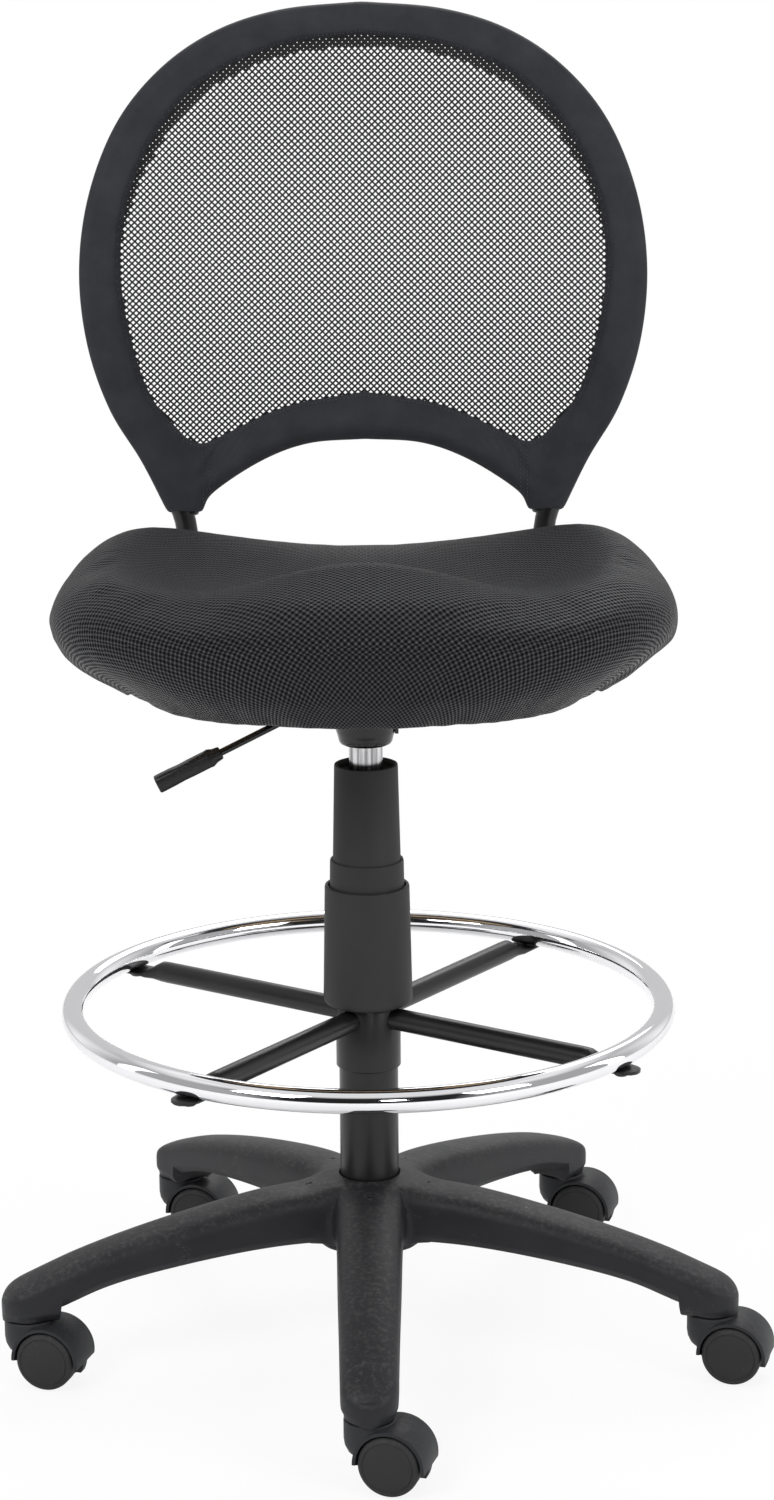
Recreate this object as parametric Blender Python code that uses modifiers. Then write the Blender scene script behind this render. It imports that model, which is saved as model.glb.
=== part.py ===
"""Drafting chair: five-arm caster base, gas lift with a telescopic cover, foot ring, cushion seat and mesh back.

Metres, +Z up. The chair is designed about its column axis, standing on Z = 0 and facing -Y. At the end it is
moved sideways so that the origin lies under the middle of the whole chair.
"""
import bpy
import bmesh
from math import cos, hypot, pi, radians, sin, sqrt, tan
from mathutils import Matrix, Vector

# ---------------------------------------------------------------- driving dimensions
GAP = 0.0003                 # clearance left between pieces that touch
MERGE = 0.00005              # merge distance of the Screw modifiers

# Five-arm base
ARM_COUNT = 5
ARM_FIRST_AZIMUTH = -90.0    # the first arm points to the front
STEM_CIRCLE_R = 0.2983
# one station of an arm: distance from the column, half width, top, underside
ARM_STATIONS = [
    (0.030, 0.0288, 0.1440, 0.0970),
    (0.060, 0.0285, 0.1420, 0.0985),
    (0.115, 0.0272, 0.1362, 0.0975),
    (0.175, 0.0258, 0.1252, 0.0912),
    (0.230, 0.0244, 0.1120, 0.0815),
    (0.275, 0.0232, 0.0985, 0.0670),
    (0.305, 0.0205, 0.0880, 0.0620),
]
ARM_WALL = 0.0042
ARM_CHANNEL = (0.062, 0.262)         # stretch of an arm that is hollow underneath
SOCKET_R = 0.0227
SOCKET_BOTTOM_Z = 0.0567
SOCKET_TOP_Z = 0.0890
HUB_TOP_Z = 0.1470
HUB_BOTTOM_Z = 0.0880
HUB_R = 0.0500
HUB_COLLAR_R = 0.0350

# Casters
CASTER_AZIMUTH = -17.0       # the direction that every caster trails in
CASTER_TRAIL = 0.0205
WHEEL_R = 0.0248
WHEEL_INNER_Y = 0.0046
WHEEL_OUTER_Y = 0.0222
WHEEL_CROWN = 0.0018
HOOD_R = 0.0290
HOOD_HALF_WIDTH = 0.0208
HOOD_WEB = 0.0042
HOOD_SKIRT_Z = 0.0235
HOOD_WEB_BOTTOM_Z = 0.0120
NECK_R = 0.0205
NECK_TOP_Z = 0.0555
STEM_R = 0.0055
STEM_TOP_Z = 0.0810
STEM_FOOT_Z = 0.0464
AXLE_R = 0.0030

# Gas lift
COLUMN_R = 0.0248
COLUMN_WALL = 0.0020
COLUMN_BOTTOM_Z = 0.0920
COLUMN_TOP_Z = 0.4962
PISTON_R = 0.0140
PISTON_WALL = 0.0022
PISTON_BOTTOM_Z = 0.1250
PISTON_TOP_Z = 0.5530
ROD_R = 0.0050
ROD_HEAD_Z = 0.4000
VALVE_PIN_R = 0.0030
VALVE_PIN_TOP_Z = 0.5593

# Telescopic cover: radius at the top and bottom, height of the top and bottom, wall
COVER_UPPER = (0.02645, 0.02825, 0.5037, 0.4170, 0.0012)
COVER_MIDDLE = (0.03075, 0.03220, 0.4224, 0.3270, 0.0014)
COVER_LOWER = (0.03540, 0.03735, 0.4004, 0.2990, 0.0022)

# Foot ring
RING_R = 0.2473
RING_TUBE_R = 0.0098
RING_Z = 0.2960
SPOKE_Z = 0.2872
SPOKE_R = 0.0094
SPOKE_FIRST_AZIMUTH = 55.5
TAB_THICKNESS = 0.0034
SLEEVE_R = 0.0272
SLEEVE_BORE_R = 0.0254
SLEEVE_Z = (0.2427, 0.2982)

# Seat
SEAT_PITCH = 4.0             # degrees that the seat leans back
DECK_Z = 0.5695              # underside of the seat board on the column axis
BOARD_THICKNESS = 0.0120
BOARD_HALF_X = 0.1780
BOARD_HALF_Y = 0.1500
BOARD_CENTRE_Y = 0.0150
BOARD_ROUNDNESS = 2.6        # exponent of an outline, 2 for an ellipse
SEAT_HALF_X = 0.2600
SEAT_HALF_Y = 0.2400
SEAT_CENTRE_Y = -0.0060
SEAT_ROUNDNESS = 2.35
# one level of the cushion above the deck: share of the outline, height
CUSHION_LEVELS = [(0.765, 0.0123), (0.795, 0.0045), (0.865, 0.0075), (0.940, 0.0280), (1.000, 0.0640),
                  (0.975, 0.0880), (0.890, 0.1020), (0.700, 0.1050), (0.350, 0.0960)]
TAPER_SOCKET_Z = (0.5206, 0.5560)
TAPER_SOCKET_R = 0.0230
PLATE_HALF = (0.0900, 0.0950)
PLATE_SHEET = 0.0025
PLATE_BOX_HALF = (0.0400, 0.0460)
PLATE_BOX_DEPTH = 0.0215
PLATE_BOLT = (0.0740, 0.0760)

# Lever: its pivot in the left wall of the plate, its rod and its paddle
LEVER_PIVOT = (-0.0400, -0.0060, 0.5560)
LEVER_ROD_R = 0.0030
LEVER_ROD = [(0.0045, 0.0, 0.5630), (-0.0240, -0.0020, 0.5625), (-0.0470, -0.0080, 0.5525),
             (-0.1400, -0.0200, 0.5080)]
PADDLE_LENGTH = 0.0590
PADDLE_HALF = (0.0072, 0.0050)
PADDLE_START = 0.0920        # along the rod's sloping run

# Back
BACK_TUBE_R = 0.0095
BACK_ARCH_R = 0.0070
BACK_COVER = 0.0012
COVER_CLEARANCE = 0.0040
# half of the cover's outer edge, from the top to the tip of the right leg: (x, z)
BACK_OUTLINE = [(0.0000, 1.1110), (0.0690, 1.1050), (0.1258, 1.0880), (0.1740, 1.0570), (0.2130, 1.0110),
                (0.2380, 0.9500), (0.2475, 0.8850), (0.2420, 0.8200), (0.2240, 0.7620), (0.1980, 0.7160),
                (0.1760, 0.6680)]
# half of the arch's lower edge, from the inside of the leg's tip to the middle
BACK_ARCH = [(0.1450, 0.6680), (0.1355, 0.6850), (0.0925, 0.7130), (0.0500, 0.7285), (0.0000, 0.7320)]
# half of the net's window, from the top down to the lobe and up to the arch
BACK_WINDOW = [(0.0000, 1.0830), (0.0680, 1.0745), (0.1310, 1.0490), (0.1760, 1.0050), (0.2040, 0.9450),
               (0.2116, 0.8850), (0.2040, 0.8250), (0.1870, 0.7720), (0.1580, 0.7355)]
BACK_LOBE = [(0.1580, 0.7355), (0.1440, 0.7300), (0.1297, 0.7353)]
BACK_WINDOW_ARCH = [(0.1297, 0.7353), (0.0694, 0.7620), (0.0000, 0.7745)]
BACK_MIDDLE = (0.0, 0.90)    # the point that the net is laid out around
BACK_BOW = 0.022             # how far the sides come forward of the middle
# the back's lean: (height, y) on its middle line
BACK_LEAN = [(0.640, 0.284), (0.780, 0.273), (0.900, 0.275), (1.010, 0.289), (1.120, 0.313)]
LEG_X = 0.1575
LEG_FRONT_Y = 0.0050
LEG_REAR_Y = 0.2680
LEG_BEND_R = 0.0520
BACK_BOLT_Y = (0.0250, 0.0850)

COLORS = {
    "nylon_black": ((0.018, 0.018, 0.020), 0.55, 0.0),
    "plastic_charcoal": ((0.035, 0.035, 0.037), 0.50, 0.0),
    "tread_black": ((0.022, 0.022, 0.023), 0.65, 0.0),
    "steel_black": ((0.012, 0.012, 0.013), 0.35, 0.4),
    "chrome": ((0.80, 0.80, 0.82), 0.06, 1.0),
    "zinc": ((0.55, 0.56, 0.58), 0.30, 1.0),
    "bearing_white": ((0.75, 0.74, 0.70), 0.45, 0.0),
    "wood": ((0.42, 0.30, 0.18), 0.70, 0.0),
    "seat_fabric": ((0.014, 0.014, 0.016), 0.85, 0.0),
    "back_knit": ((0.020, 0.021, 0.024), 0.90, 0.0),
    "back_net": ((0.012, 0.012, 0.014), 0.80, 0.0),
}


# ---------------------------------------------------------------- helpers
def clear_scene():
    for obj in list(bpy.data.objects):
        bpy.data.objects.remove(obj, do_unlink=True)
    for block in (bpy.data.meshes, bpy.data.curves, bpy.data.materials, bpy.data.collections):
        for item in list(block):
            block.remove(item)


def make_collection(name):
    collection = bpy.data.collections.new(name)
    bpy.context.scene.collection.children.link(collection)
    return collection


def make_material(name):
    color, roughness, metallic = COLORS[name]
    material = bpy.data.materials.new(name)
    material.use_nodes = True
    shader = material.node_tree.nodes["Principled BSDF"]
    shader.inputs["Base Color"].default_value = (*color, 1.0)
    shader.inputs["Roughness"].default_value = roughness
    shader.inputs["Metallic"].default_value = metallic
    material.diffuse_color = (*color, 1.0)
    return material


def make_empty(name, parent, location, rotation=(0.0, 0.0, 0.0)):
    empty = bpy.data.objects.new(name, None)
    empty.empty_display_size = 0.03
    empty.location = location
    empty.rotation_euler = rotation
    empty.parent = parent
    CHAIR.objects.link(empty)
    return empty


def make_object(name, mesh, color, parent, location=(0.0, 0.0, 0.0), rotation=(0.0, 0.0, 0.0)):
    """Link a mesh as one of the chair's own pieces, with its own material."""
    obj = bpy.data.objects.new(name, mesh)
    material = bpy.data.materials.get(name) or make_material(color)
    material.name = name
    mesh.materials.clear()
    mesh.materials.append(material)
    obj.parent = parent
    obj.location = location
    obj.rotation_euler = rotation
    CHAIR.objects.link(obj)
    return obj


def make_cutter(name, mesh, parent, location=(0.0, 0.0, 0.0), rotation=(0.0, 0.0, 0.0)):
    """Link a mesh as a construction body, which the chair leaves out."""
    obj = bpy.data.objects.new(name, mesh)
    obj.parent = parent
    obj.location = location
    obj.rotation_euler = rotation
    obj.hide_render = True
    obj.display_type = "WIRE"
    CONSTRUCTION.objects.link(obj)
    return obj


def combine(obj, other, operation):
    modifier = obj.modifiers.new(operation.lower(), "BOOLEAN")
    modifier.operation = operation
    modifier.solver = "EXACT"
    modifier.object = other


def smooth(obj, angle=35.0):
    obj.data.shade_smooth()
    obj.data.set_sharp_from_angle(angle=radians(angle))


def box_mesh(name, low, high):
    bm = bmesh.new()
    bmesh.ops.create_cube(bm, size=1.0)
    size = Vector(high) - Vector(low)
    middle = (Vector(high) + Vector(low)) / 2
    bmesh.ops.transform(bm, matrix=Matrix.Translation(middle) @ Matrix.Diagonal((*size, 1.0)), verts=bm.verts)
    mesh = bpy.data.meshes.new(name)
    bm.to_mesh(mesh)
    bm.free()
    return mesh


def cylinder_mesh(name, radius, z_low, z_high, segments=24, top_radius=None):
    bm = bmesh.new()
    bmesh.ops.create_cone(bm, cap_ends=True, segments=segments, radius1=radius,
                          radius2=radius if top_radius is None else top_radius, depth=z_high - z_low)
    bmesh.ops.translate(bm, vec=(0.0, 0.0, (z_low + z_high) / 2), verts=bm.verts)
    mesh = bpy.data.meshes.new(name)
    bm.to_mesh(mesh)
    bm.free()
    return mesh


def profile_mesh(name, points, closed):
    """A profile in the XZ plane, given as (radius, height), for a Screw modifier."""
    mesh = bpy.data.meshes.new(name)
    count = len(points)
    edges = [(i, i + 1) for i in range(count - 1)]
    if closed:
        edges.append((count - 1, 0))
    mesh.from_pydata([(r, 0.0, z) for r, z in points], edges, [])
    return mesh


def turn(obj, segments):
    screw = obj.modifiers.new("turn", "SCREW")
    screw.axis = "Z"
    screw.angle = 2 * pi
    screw.steps = segments
    screw.render_steps = segments
    screw.use_merge_vertices = True
    screw.merge_threshold = MERGE
    screw.use_smooth_shade = True


def turned(name, points, color, parent, segments=24, closed=True, **place):
    """A turned piece: its profile runs down the outer side first, then up the inner side."""
    obj = make_object(name, profile_mesh(name, points, closed), color, parent, **place)
    turn(obj, segments)
    return obj


def loft_mesh(name, rings):
    """A closed skin over rings of equal point count, each end closed by one face."""
    bm = bmesh.new()
    rows = [[bm.verts.new(point) for point in ring] for ring in rings]
    for lower, upper in zip(rows, rows[1:]):
        for i in range(len(lower)):
            j = (i + 1) % len(lower)
            bm.faces.new((lower[i], lower[j], upper[j], upper[i]))
    bm.faces.new(list(reversed(rows[0])))
    bm.faces.new(rows[-1])
    bmesh.ops.triangulate(bm, faces=bm.faces)
    bmesh.ops.recalc_face_normals(bm, faces=bm.faces)
    mesh = bpy.data.meshes.new(name)
    bm.to_mesh(mesh)
    bm.free()
    return mesh


def wire_mesh(name, points, radius, bevel_resolution=2):
    """A round bar along points, as a mesh with its caps welded on."""
    curve = bpy.data.curves.new(name + "_path", "CURVE")
    curve.dimensions = "3D"
    curve.bevel_depth = radius
    curve.bevel_resolution = bevel_resolution
    curve.use_fill_caps = True
    spline = curve.splines.new("POLY")
    spline.points.add(len(points) - 1)
    for spline_point, point in zip(spline.points, points):
        spline_point.co = (*point, 1.0)
    carrier = bpy.data.objects.new(name + "_path", curve)
    bpy.context.scene.collection.objects.link(carrier)
    evaluated = carrier.evaluated_get(bpy.context.evaluated_depsgraph_get())
    mesh = bpy.data.meshes.new_from_object(evaluated)
    mesh.name = name
    bm = bmesh.new()
    bm.from_mesh(mesh)
    bmesh.ops.remove_doubles(bm, verts=bm.verts, dist=MERGE)
    bmesh.ops.recalc_face_normals(bm, faces=bm.faces)
    bm.to_mesh(mesh)
    bm.free()
    bpy.data.objects.remove(carrier)
    return mesh


def smooth_path(points, per_span):
    """Points on a Catmull-Rom curve through the given points."""
    vectors = [Vector(point) for point in points]
    ends = [2 * vectors[0] - vectors[1], *vectors, 2 * vectors[-1] - vectors[-2]]
    path = []
    for a, b, c, d in zip(ends, ends[1:], ends[2:], ends[3:]):
        for step in range(per_span):
            t = step / per_span
            path.append(0.5 * (2 * b + (c - a) * t + (2 * a - 5 * b + 4 * c - d) * t ** 2
                               + (3 * b - a - 3 * c + d) * t ** 3))
    path.append(vectors[-1])
    return path


def evenly_spaced(path, count):
    """The same route as count points at equal distances."""
    lengths = [0.0]
    for a, b in zip(path, path[1:]):
        lengths.append(lengths[-1] + (b - a).length)
    result = []
    k = 0
    for i in range(count):
        goal = lengths[-1] * i / (count - 1)
        while k < len(path) - 2 and lengths[k + 1] < goal:
            k += 1
        share = (goal - lengths[k]) / max(lengths[k + 1] - lengths[k], 1e-9)
        result.append(path[k].lerp(path[k + 1], min(share, 1.0)))
    return result


def at_azimuth(radius, degrees, z=0.0):
    return (radius * cos(radians(degrees)), radius * sin(radians(degrees)), z)


# ---------------------------------------------------------------- five-arm base
def arm_ring(station, inset=0.0, floor=None):
    """The arm's cross-section at one station: flat sides under a rounded top."""
    r, half, top, bottom = station
    half -= inset
    top -= inset
    if floor is not None:
        bottom = floor
    corner = 0.014 - inset * 0.5
    right = [(half, bottom), (half, top - corner), (half * 0.60, top - 0.0012)]
    left = [(-y, z) for y, z in reversed(right)]
    return [(r, y, z) for y, z in right + left]


def build_base(root):
    base = make_empty("base_frame", root, (0.0, 0.0, 0.0))
    hub_profile = [(0.0, HUB_TOP_Z), (HUB_COLLAR_R, HUB_TOP_Z), (HUB_COLLAR_R + 0.004, HUB_TOP_Z - 0.010),
                   (HUB_R, HUB_TOP_Z - 0.026), (HUB_R, HUB_BOTTOM_Z), (0.0, HUB_BOTTOM_Z)]
    star = turned("base_star", hub_profile, "nylon_black", base, segments=20, closed=False)
    start, stop = ARM_CHANNEL
    channel = [s for s in ARM_STATIONS if start < s[0] < stop]
    first = (start, *ARM_STATIONS[1][1:])
    last = (stop, 0.0236, 0.1020, 0.0720)
    arm_mesh = loft_mesh("arm", [arm_ring(s) for s in ARM_STATIONS])
    channel_mesh = loft_mesh("arm_channel", [arm_ring(s, ARM_WALL, 0.030) for s in [first, *channel, last]])
    socket_mesh = cylinder_mesh("socket", SOCKET_R, SOCKET_BOTTOM_Z, SOCKET_TOP_Z, 16)
    bore_mesh = cylinder_mesh("stem_bore", STEM_R + GAP, SOCKET_BOTTOM_Z - 0.01, STEM_TOP_Z + 0.0015, 10)
    for i in range(ARM_COUNT):
        azimuth = ARM_FIRST_AZIMUTH + 360.0 / ARM_COUNT * i
        turn_z = (0.0, 0.0, radians(azimuth))
        tip = at_azimuth(STEM_CIRCLE_R, azimuth)
        combine(star, make_cutter(f"arm_{i + 1}", arm_mesh, base, rotation=turn_z), "UNION")
        combine(star, make_cutter(f"socket_{i + 1}", socket_mesh, base, tip, turn_z), "UNION")
    for i in range(ARM_COUNT):
        azimuth = ARM_FIRST_AZIMUTH + 360.0 / ARM_COUNT * i
        turn_z = (0.0, 0.0, radians(azimuth))
        tip = at_azimuth(STEM_CIRCLE_R, azimuth)
        combine(star, make_cutter(f"arm_channel_{i + 1}", channel_mesh, base, rotation=turn_z), "DIFFERENCE")
        combine(star, make_cutter(f"stem_bore_{i + 1}", bore_mesh, base, tip, turn_z), "DIFFERENCE")
    bore = cylinder_mesh("column_bore", COLUMN_R + GAP, HUB_BOTTOM_Z - 0.01, HUB_TOP_Z + 0.01, 24)
    combine(star, make_cutter("column_bore", bore, base), "DIFFERENCE")
    return base


# ---------------------------------------------------------------- casters
def wheel_profile():
    """A wheel's half section: flat inner face, tread, and a slightly domed outer face."""
    return [(AXLE_R + GAP, WHEEL_OUTER_Y), (WHEEL_R - 0.0035, WHEEL_OUTER_Y - WHEEL_CROWN * 0.5),
            (WHEEL_R, WHEEL_OUTER_Y - WHEEL_CROWN - 0.0030),
            (WHEEL_R, WHEEL_INNER_Y), (AXLE_R + GAP, WHEEL_INNER_Y)]


def build_caster(base, index):
    number = index + 1
    azimuth = ARM_FIRST_AZIMUTH + 360.0 / ARM_COUNT * index
    place = at_azimuth(STEM_CIRCLE_R, azimuth)
    stem = [(0.0, STEM_TOP_Z), (STEM_R - 0.001, STEM_TOP_Z), (STEM_R, STEM_TOP_Z - 0.001),
            (STEM_R, STEM_FOOT_Z), (0.0, STEM_FOOT_Z)]
    turned(f"caster_stem_{number}", stem, "zinc", base, segments=12, closed=False, location=place)
    swivel = make_empty(f"caster_swivel_{number}", base, place, (0.0, 0.0, radians(CASTER_AZIMUTH)))
    across = (radians(90.0), 0.0, 0.0)
    axle_place = (CASTER_TRAIL, 0.0, WHEEL_R)

    neck_round = 0.0110
    neck = [(0.0, NECK_TOP_Z), (NECK_R - 0.0015, NECK_TOP_Z), (NECK_R, NECK_TOP_Z - 0.0015),
            (NECK_R, HOOD_SKIRT_Z + neck_round), (NECK_R - neck_round * 0.3, HOOD_SKIRT_Z + neck_round * 0.3),
            (NECK_R - neck_round, HOOD_SKIRT_Z), (0.0, HOOD_SKIRT_Z)]
    housing = turned(f"caster_housing_{number}", neck, "nylon_black", swivel, segments=16, closed=False)
    hood = cylinder_mesh("hood", HOOD_R, -HOOD_HALF_WIDTH, HOOD_HALF_WIDTH, 18)
    pocket = cylinder_mesh("pocket", WHEEL_R + 0.0012, HOOD_WEB, HOOD_WEB + 0.030, 18)
    below_side = box_mesh("below_side", (-0.040, HOOD_WEB, -0.010), (0.080, 0.040, HOOD_SKIRT_Z))
    below_web = box_mesh("below_web", (-0.040, -0.040, -0.010), (0.080, 0.040, HOOD_WEB_BOTTOM_Z))
    axle_hole = cylinder_mesh("axle_hole", AXLE_R + GAP, -0.020, 0.020, 10)
    stem_hole = cylinder_mesh("stem_hole", STEM_R + GAP, STEM_FOOT_Z - GAP, NECK_TOP_Z + 0.010, 12)
    combine(housing, make_cutter(f"hood_{number}", hood, swivel, axle_place, across), "UNION")
    combine(housing, make_cutter(f"below_web_{number}", below_web, swivel), "DIFFERENCE")
    for side, turn_x in (("a", -90.0), ("b", 90.0)):
        rotation = (radians(turn_x), 0.0, 0.0)
        cutter = make_cutter(f"pocket_{side}_{number}", pocket, swivel, axle_place, rotation)
        combine(housing, cutter, "DIFFERENCE")
    for side, half_turn in (("a", 0.0), ("b", 180.0)):
        place_x = 0.0 if side == "a" else 0.040
        cutter = make_cutter(f"below_side_{side}_{number}", below_side, swivel, (place_x, 0.0, 0.0),
                             (0.0, 0.0, radians(half_turn)))
        combine(housing, cutter, "DIFFERENCE")
    combine(housing, make_cutter(f"axle_hole_{number}", axle_hole, swivel, axle_place, across), "DIFFERENCE")
    combine(housing, make_cutter(f"stem_hole_{number}", stem_hole, swivel), "DIFFERENCE")

    wheels = make_empty(f"wheel_axis_{number}", swivel, axle_place)
    axle_length = WHEEL_OUTER_Y - 0.0012
    axle = cylinder_mesh("axle", AXLE_R, -axle_length, axle_length, 10)
    make_object(f"caster_axle_{number}", axle, "zinc", wheels, rotation=across)
    for side, turn_x in (("left", -90.0), ("right", 90.0)):
        turned(f"caster_wheel_{side}_{number}", wheel_profile(), "tread_black", wheels, segments=18,
               rotation=(radians(turn_x), 0.0, 0.0))


# ---------------------------------------------------------------- gas lift and its cover
def build_gas_lift(base, root):
    bore = COLUMN_R - COLUMN_WALL
    column = [(COLUMN_R - 0.0015, COLUMN_TOP_Z), (COLUMN_R, COLUMN_TOP_Z - 0.0015), (COLUMN_R, COLUMN_BOTTOM_Z),
              (0.0075, COLUMN_BOTTOM_Z), (0.0075, COLUMN_BOTTOM_Z + 0.003), (bore, COLUMN_BOTTOM_Z + 0.003),
              (bore, COLUMN_TOP_Z)]
    turned("column_tube", column, "steel_black", base, segments=24)
    bush = [(bore - GAP, COLUMN_TOP_Z - 0.001), (bore - GAP, COLUMN_TOP_Z - 0.080),
            (PISTON_R + GAP, COLUMN_TOP_Z - 0.080), (PISTON_R + GAP, COLUMN_TOP_Z - 0.001)]
    turned("guide_bush", bush, "bearing_white", base, segments=24)
    seat_z = COLUMN_BOTTOM_Z + 0.003
    bearing = [(0.0150, seat_z + 0.0083), (0.0150, seat_z + GAP), (ROD_R + GAP, seat_z + GAP),
               (ROD_R + GAP, seat_z + 0.0083)]
    turned("thrust_bearing", bearing, "zinc", base, segments=20)
    clip_z = COLUMN_BOTTOM_Z - GAP
    clip = [(0.0090, clip_z), (0.0090, clip_z - 0.0015), (ROD_R + GAP, clip_z - 0.0015), (ROD_R + GAP, clip_z)]
    turned("retaining_clip", clip, "zinc", base, segments=16)
    head_r = PISTON_R - PISTON_WALL - GAP
    rod = [(0.0, ROD_HEAD_Z), (head_r, ROD_HEAD_Z), (head_r, ROD_HEAD_Z - 0.014), (ROD_R, ROD_HEAD_Z - 0.014),
           (ROD_R, clip_z - 0.0030), (0.0, clip_z - 0.0030)]
    turned("piston_rod", rod, "zinc", base, segments=16, closed=False)

    lift = make_empty("lift_axis", root, (0.0, 0.0, 0.0))
    inner = PISTON_R - PISTON_WALL
    pin_hole = VALVE_PIN_R + GAP
    cylinder = [(PISTON_R - 0.0020, PISTON_TOP_Z), (PISTON_R, TAPER_SOCKET_Z[0] - 0.004),
                (PISTON_R, PISTON_BOTTOM_Z), (ROD_R + GAP, PISTON_BOTTOM_Z),
                (ROD_R + GAP, PISTON_BOTTOM_Z + 0.006), (inner, PISTON_BOTTOM_Z + 0.006),
                (inner, PISTON_TOP_Z - 0.030), (pin_hole, PISTON_TOP_Z - 0.026), (pin_hole, PISTON_TOP_Z)]
    turned("pressure_cylinder", cylinder, "chrome", lift, segments=24)
    valve = make_empty("valve_axis", lift, (0.0, 0.0, VALVE_PIN_TOP_Z))
    pin = [(0.0, 0.0), (VALVE_PIN_R - 0.0006, 0.0), (VALVE_PIN_R, -0.0006), (VALVE_PIN_R, -0.0160), (0.0, -0.0160)]
    turned("valve_pin", pin, "zinc", valve, segments=12, closed=False)
    return lift


def build_covers(base, foot_ring):
    top_r, low_r, top_z, low_z, wall = COVER_UPPER
    disc_z = COLUMN_TOP_Z + GAP
    upper = [(top_r - 0.0006, top_z), (top_r, top_z - 0.0010), (low_r, low_z + 0.0035), (low_r + 0.0006, low_z + 0.003),
             (low_r + 0.0006, low_z), (low_r - wall, low_z), (COLUMN_R + GAP, disc_z),
             (PISTON_R + 0.0008, disc_z), (PISTON_R + 0.0008, disc_z + 0.0016), (top_r - 0.0026, disc_z + 0.0016)]
    turned("cover_upper", upper, "plastic_charcoal", base, segments=22)
    lip_r = low_r + GAP
    top_r, low_r, top_z, low_z, wall = COVER_MIDDLE
    middle = [(top_r - 0.0008, top_z), (top_r, top_z - 0.0010), (low_r, low_z + 0.003), (low_r + 0.0010, low_z + 0.003),
              (low_r + 0.0010, low_z), (low_r - wall, low_z), (top_r - wall, top_z - 0.0013),
              (lip_r, top_z - 0.0013), (lip_r, top_z)]
    turned("cover_middle", middle, "plastic_charcoal", base, segments=22)
    lip_r = low_r + GAP
    top_r, low_r, top_z, low_z, wall = COVER_LOWER
    lower = [(top_r - 0.0012, top_z), (top_r, top_z - 0.0015), (low_r, low_z + 0.0040), (low_r - 0.0012, low_z + 0.0010),
             (low_r - 0.0030, low_z), (low_r - 0.0052, low_z), (low_r - wall, low_z + 0.0030),
             (top_r - wall, top_z - 0.0022), (lip_r, top_z - 0.0022), (lip_r, top_z)]
    turned("cover_lower", lower, "plastic_charcoal", foot_ring, segments=22)


# ---------------------------------------------------------------- foot ring
def spoke_ring(distance, half_width, half_height, z):
    """An oval section of a spoke, across the spoke's direction."""
    points = []
    for k in range(8):
        angle = 2 * pi * k / 8
        points.append((distance, half_width * cos(angle), z + half_height * sin(angle)))
    return points


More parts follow.
